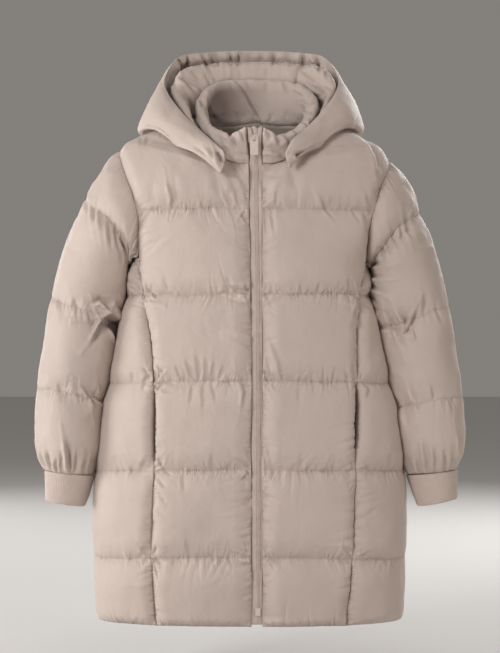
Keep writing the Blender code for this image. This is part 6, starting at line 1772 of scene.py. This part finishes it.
# ------------------------------------------------------------------ build
def shade_tucks(pieces, reach=0.034, strength=0.80):
    """Cloth lying in the folds between two padded rolls gets painted shade in its deep mark, by how shut in it is."""
    verts, tris, starts = [], [], []
    for ob in pieces:
        me = ob.data
        co = np.zeros(len(me.vertices) * 3, np.float32)
        me.vertices.foreach_get("co", co)
        me.calc_loop_triangles()
        tri = np.zeros(len(me.loop_triangles) * 3, np.int32)
        me.loop_triangles.foreach_get("vertices", tri)
        starts.append(sum(len(v) for v in verts))
        verts.append(co.reshape(-1, 3))
        tris.append(tri.reshape(-1, 3) + starts[-1])
    tree = BVHTree.FromPolygons(np.concatenate(verts).tolist(), np.concatenate(tris).tolist())
    rays = [(math.sin(a) * math.cos(b), math.sin(a) * math.sin(b), math.cos(a))
            for a, count in ((0.0, 1), (0.60, 5), (1.08, 6)) for b in np.arange(count) * 2 * math.pi / count + a]
    for ob, co in zip(pieces, verts):
        me = ob.data
        nor = np.zeros(len(me.vertices) * 3, np.float32)
        me.vertex_normals.foreach_get("vector", nor)
        nor = unit(nor.reshape(-1, 3).astype(float))
        side = unit(np.cross(nor, np.array([0.31, 0.22, 0.92])))
        other = np.cross(nor, side)
        shut = np.zeros(len(co))
        first = (co + nor * 0.0008).tolist()
        for x, y, z in rays:
            way = (side * x + other * y + nor * z).tolist()
            far = [tree.ray_cast(o, d, reach)[3] for o, d in zip(first, way)]
            shut += np.array([0.0 if f is None else 1.0 - f / reach for f in far]) / len(rays)
        add = np.clip((shut - 0.13) / 0.32, 0, 1) ** 1.3 * strength
        mark = me.attributes.get("deep") or me.attributes.new("deep", "FLOAT", "POINT")
        now = np.zeros(len(co), np.float32)
        mark.data.foreach_get("value", now)
        mark.data.foreach_set("value", np.maximum(now, add).astype(np.float32))


def build():
    shell = shell_material()
    rib = rib_material()
    tape = tape_material("tape_weave", (0.53, 0.435, 0.385), 420.0)
    coil = tape_material("coil_plastic", (0.46, 0.365, 0.325), 200.0, 0.1)
    paint = paint_material()
    soft = []
    for side in "lr":
        soft.append(front_piece(side, shell))
        soft.append(side_piece(side, shell))
    soft.append(back_piece(shell))
    for side in "lr":
        soft.append(sleeve_piece(side, shell))
    soft.append(collar_piece(shell))
    soft.append(hood_piece(shell))
    # painted shade in the tucks of collar and hood
    shade_tucks(soft[-2:])
    for ob in soft:
        ride(ob)
    guard = guard_piece(shell)
    ride(guard)
    for side in "lr":
        ob = cuff_piece(side, rib)
        ride(ob)
    tl, tr, cl = zip_pieces(tape, coil)
    for ob, wide in ((tl, 0.0120), (tr, 0.0075)):
        ride(ob)
    ride(cl)
    for name in ("zip_slider", "zip_stop", "zip_pull_tab"):
        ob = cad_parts[name]
        ob.data.materials.clear()
        ob.data.materials.append(paint)


def stage():
    scene = bpy.context.scene
    me = bpy.data.meshes.new("floor")
    s = 14.0
    me.from_pydata([(-s, -s, 0), (s, -s, 0), (s, s, 0), (-s, s, 0)], [], [(0, 1, 2, 3)])
    floor = bpy.data.objects.new("floor", me)
    floor.location = (0, 0, -0.93)
    scene.collection.objects.link(floor)
    m, nt, b = new_material("pale_floor")
    b.inputs["Base Color"].default_value = (0.68, 0.67, 0.66, 1)
    b.inputs["Roughness"].default_value = 0.9
    me.materials.append(m)

    world = bpy.data.worlds.new("studio")
    world.use_nodes = True
    bg = world.node_tree.nodes["Background"]
    bg.inputs["Color"].default_value = (1.0, 0.94, 0.88, 1)
    bg.inputs["Strength"].default_value = 0.23
    scene.world = world

    def lamp(name, at, aim, size, power, colour):
        data = bpy.data.lights.new(name, "AREA")
        data.shape = "RECTANGLE"
        data.size, data.size_y = size
        data.energy = power
        data.color = colour
        ob = bpy.data.objects.new(name, data)
        ob.location = at
        from mathutils import Vector
        ob.rotation_euler = (Vector(aim) - Vector(at)).to_track_quat("-Z", "Y").to_euler()
        ob.visible_camera = False
        scene.collection.objects.link(ob)

    lamp("side", (-3.97, -0.35, -0.20), (0, 0, -0.30), (1.3, 1.4), 98, (1.0, 0.995, 0.99))
    lamp("key", (-2.38, -3.02, 1.00), (0, 0, -0.34), (1.2, 1.4), 82, (1.0, 1.0, 1.0))
    lamp("fill", (2.82, -2.82, -0.05), (0, 0, -0.30), (1.4, 1.4), 33, (1.0, 0.955, 0.915))
    lamp("top", (0.35, -1.32, 3.46), (0, 0, -0.30), (1.2, 1.2), 20, (1.0, 0.98, 0.96))
    lamp("back", (1.8, 2.9, 1.2), (0, 0, -0.25), (1.6, 1.4), 75, (1.0, 0.99, 0.98))
    lamp("back_fill", (-2.2, 3.2, 0.3), (0, 0, -0.30), (1.6, 1.4), 30, (1.0, 0.99, 0.98))

    cam = bpy.data.cameras.new("eye")
    cam.sensor_width = 36
    cam.lens = 108.69
    ob = bpy.data.objects.new("eye", cam)
    ob.location = EYE
    ob.rotation_euler = (math.pi / 2, 0, 0)
    scene.collection.objects.link(ob)
    scene.camera = ob
    scene.view_settings.view_transform = "Standard"


build()
stage()
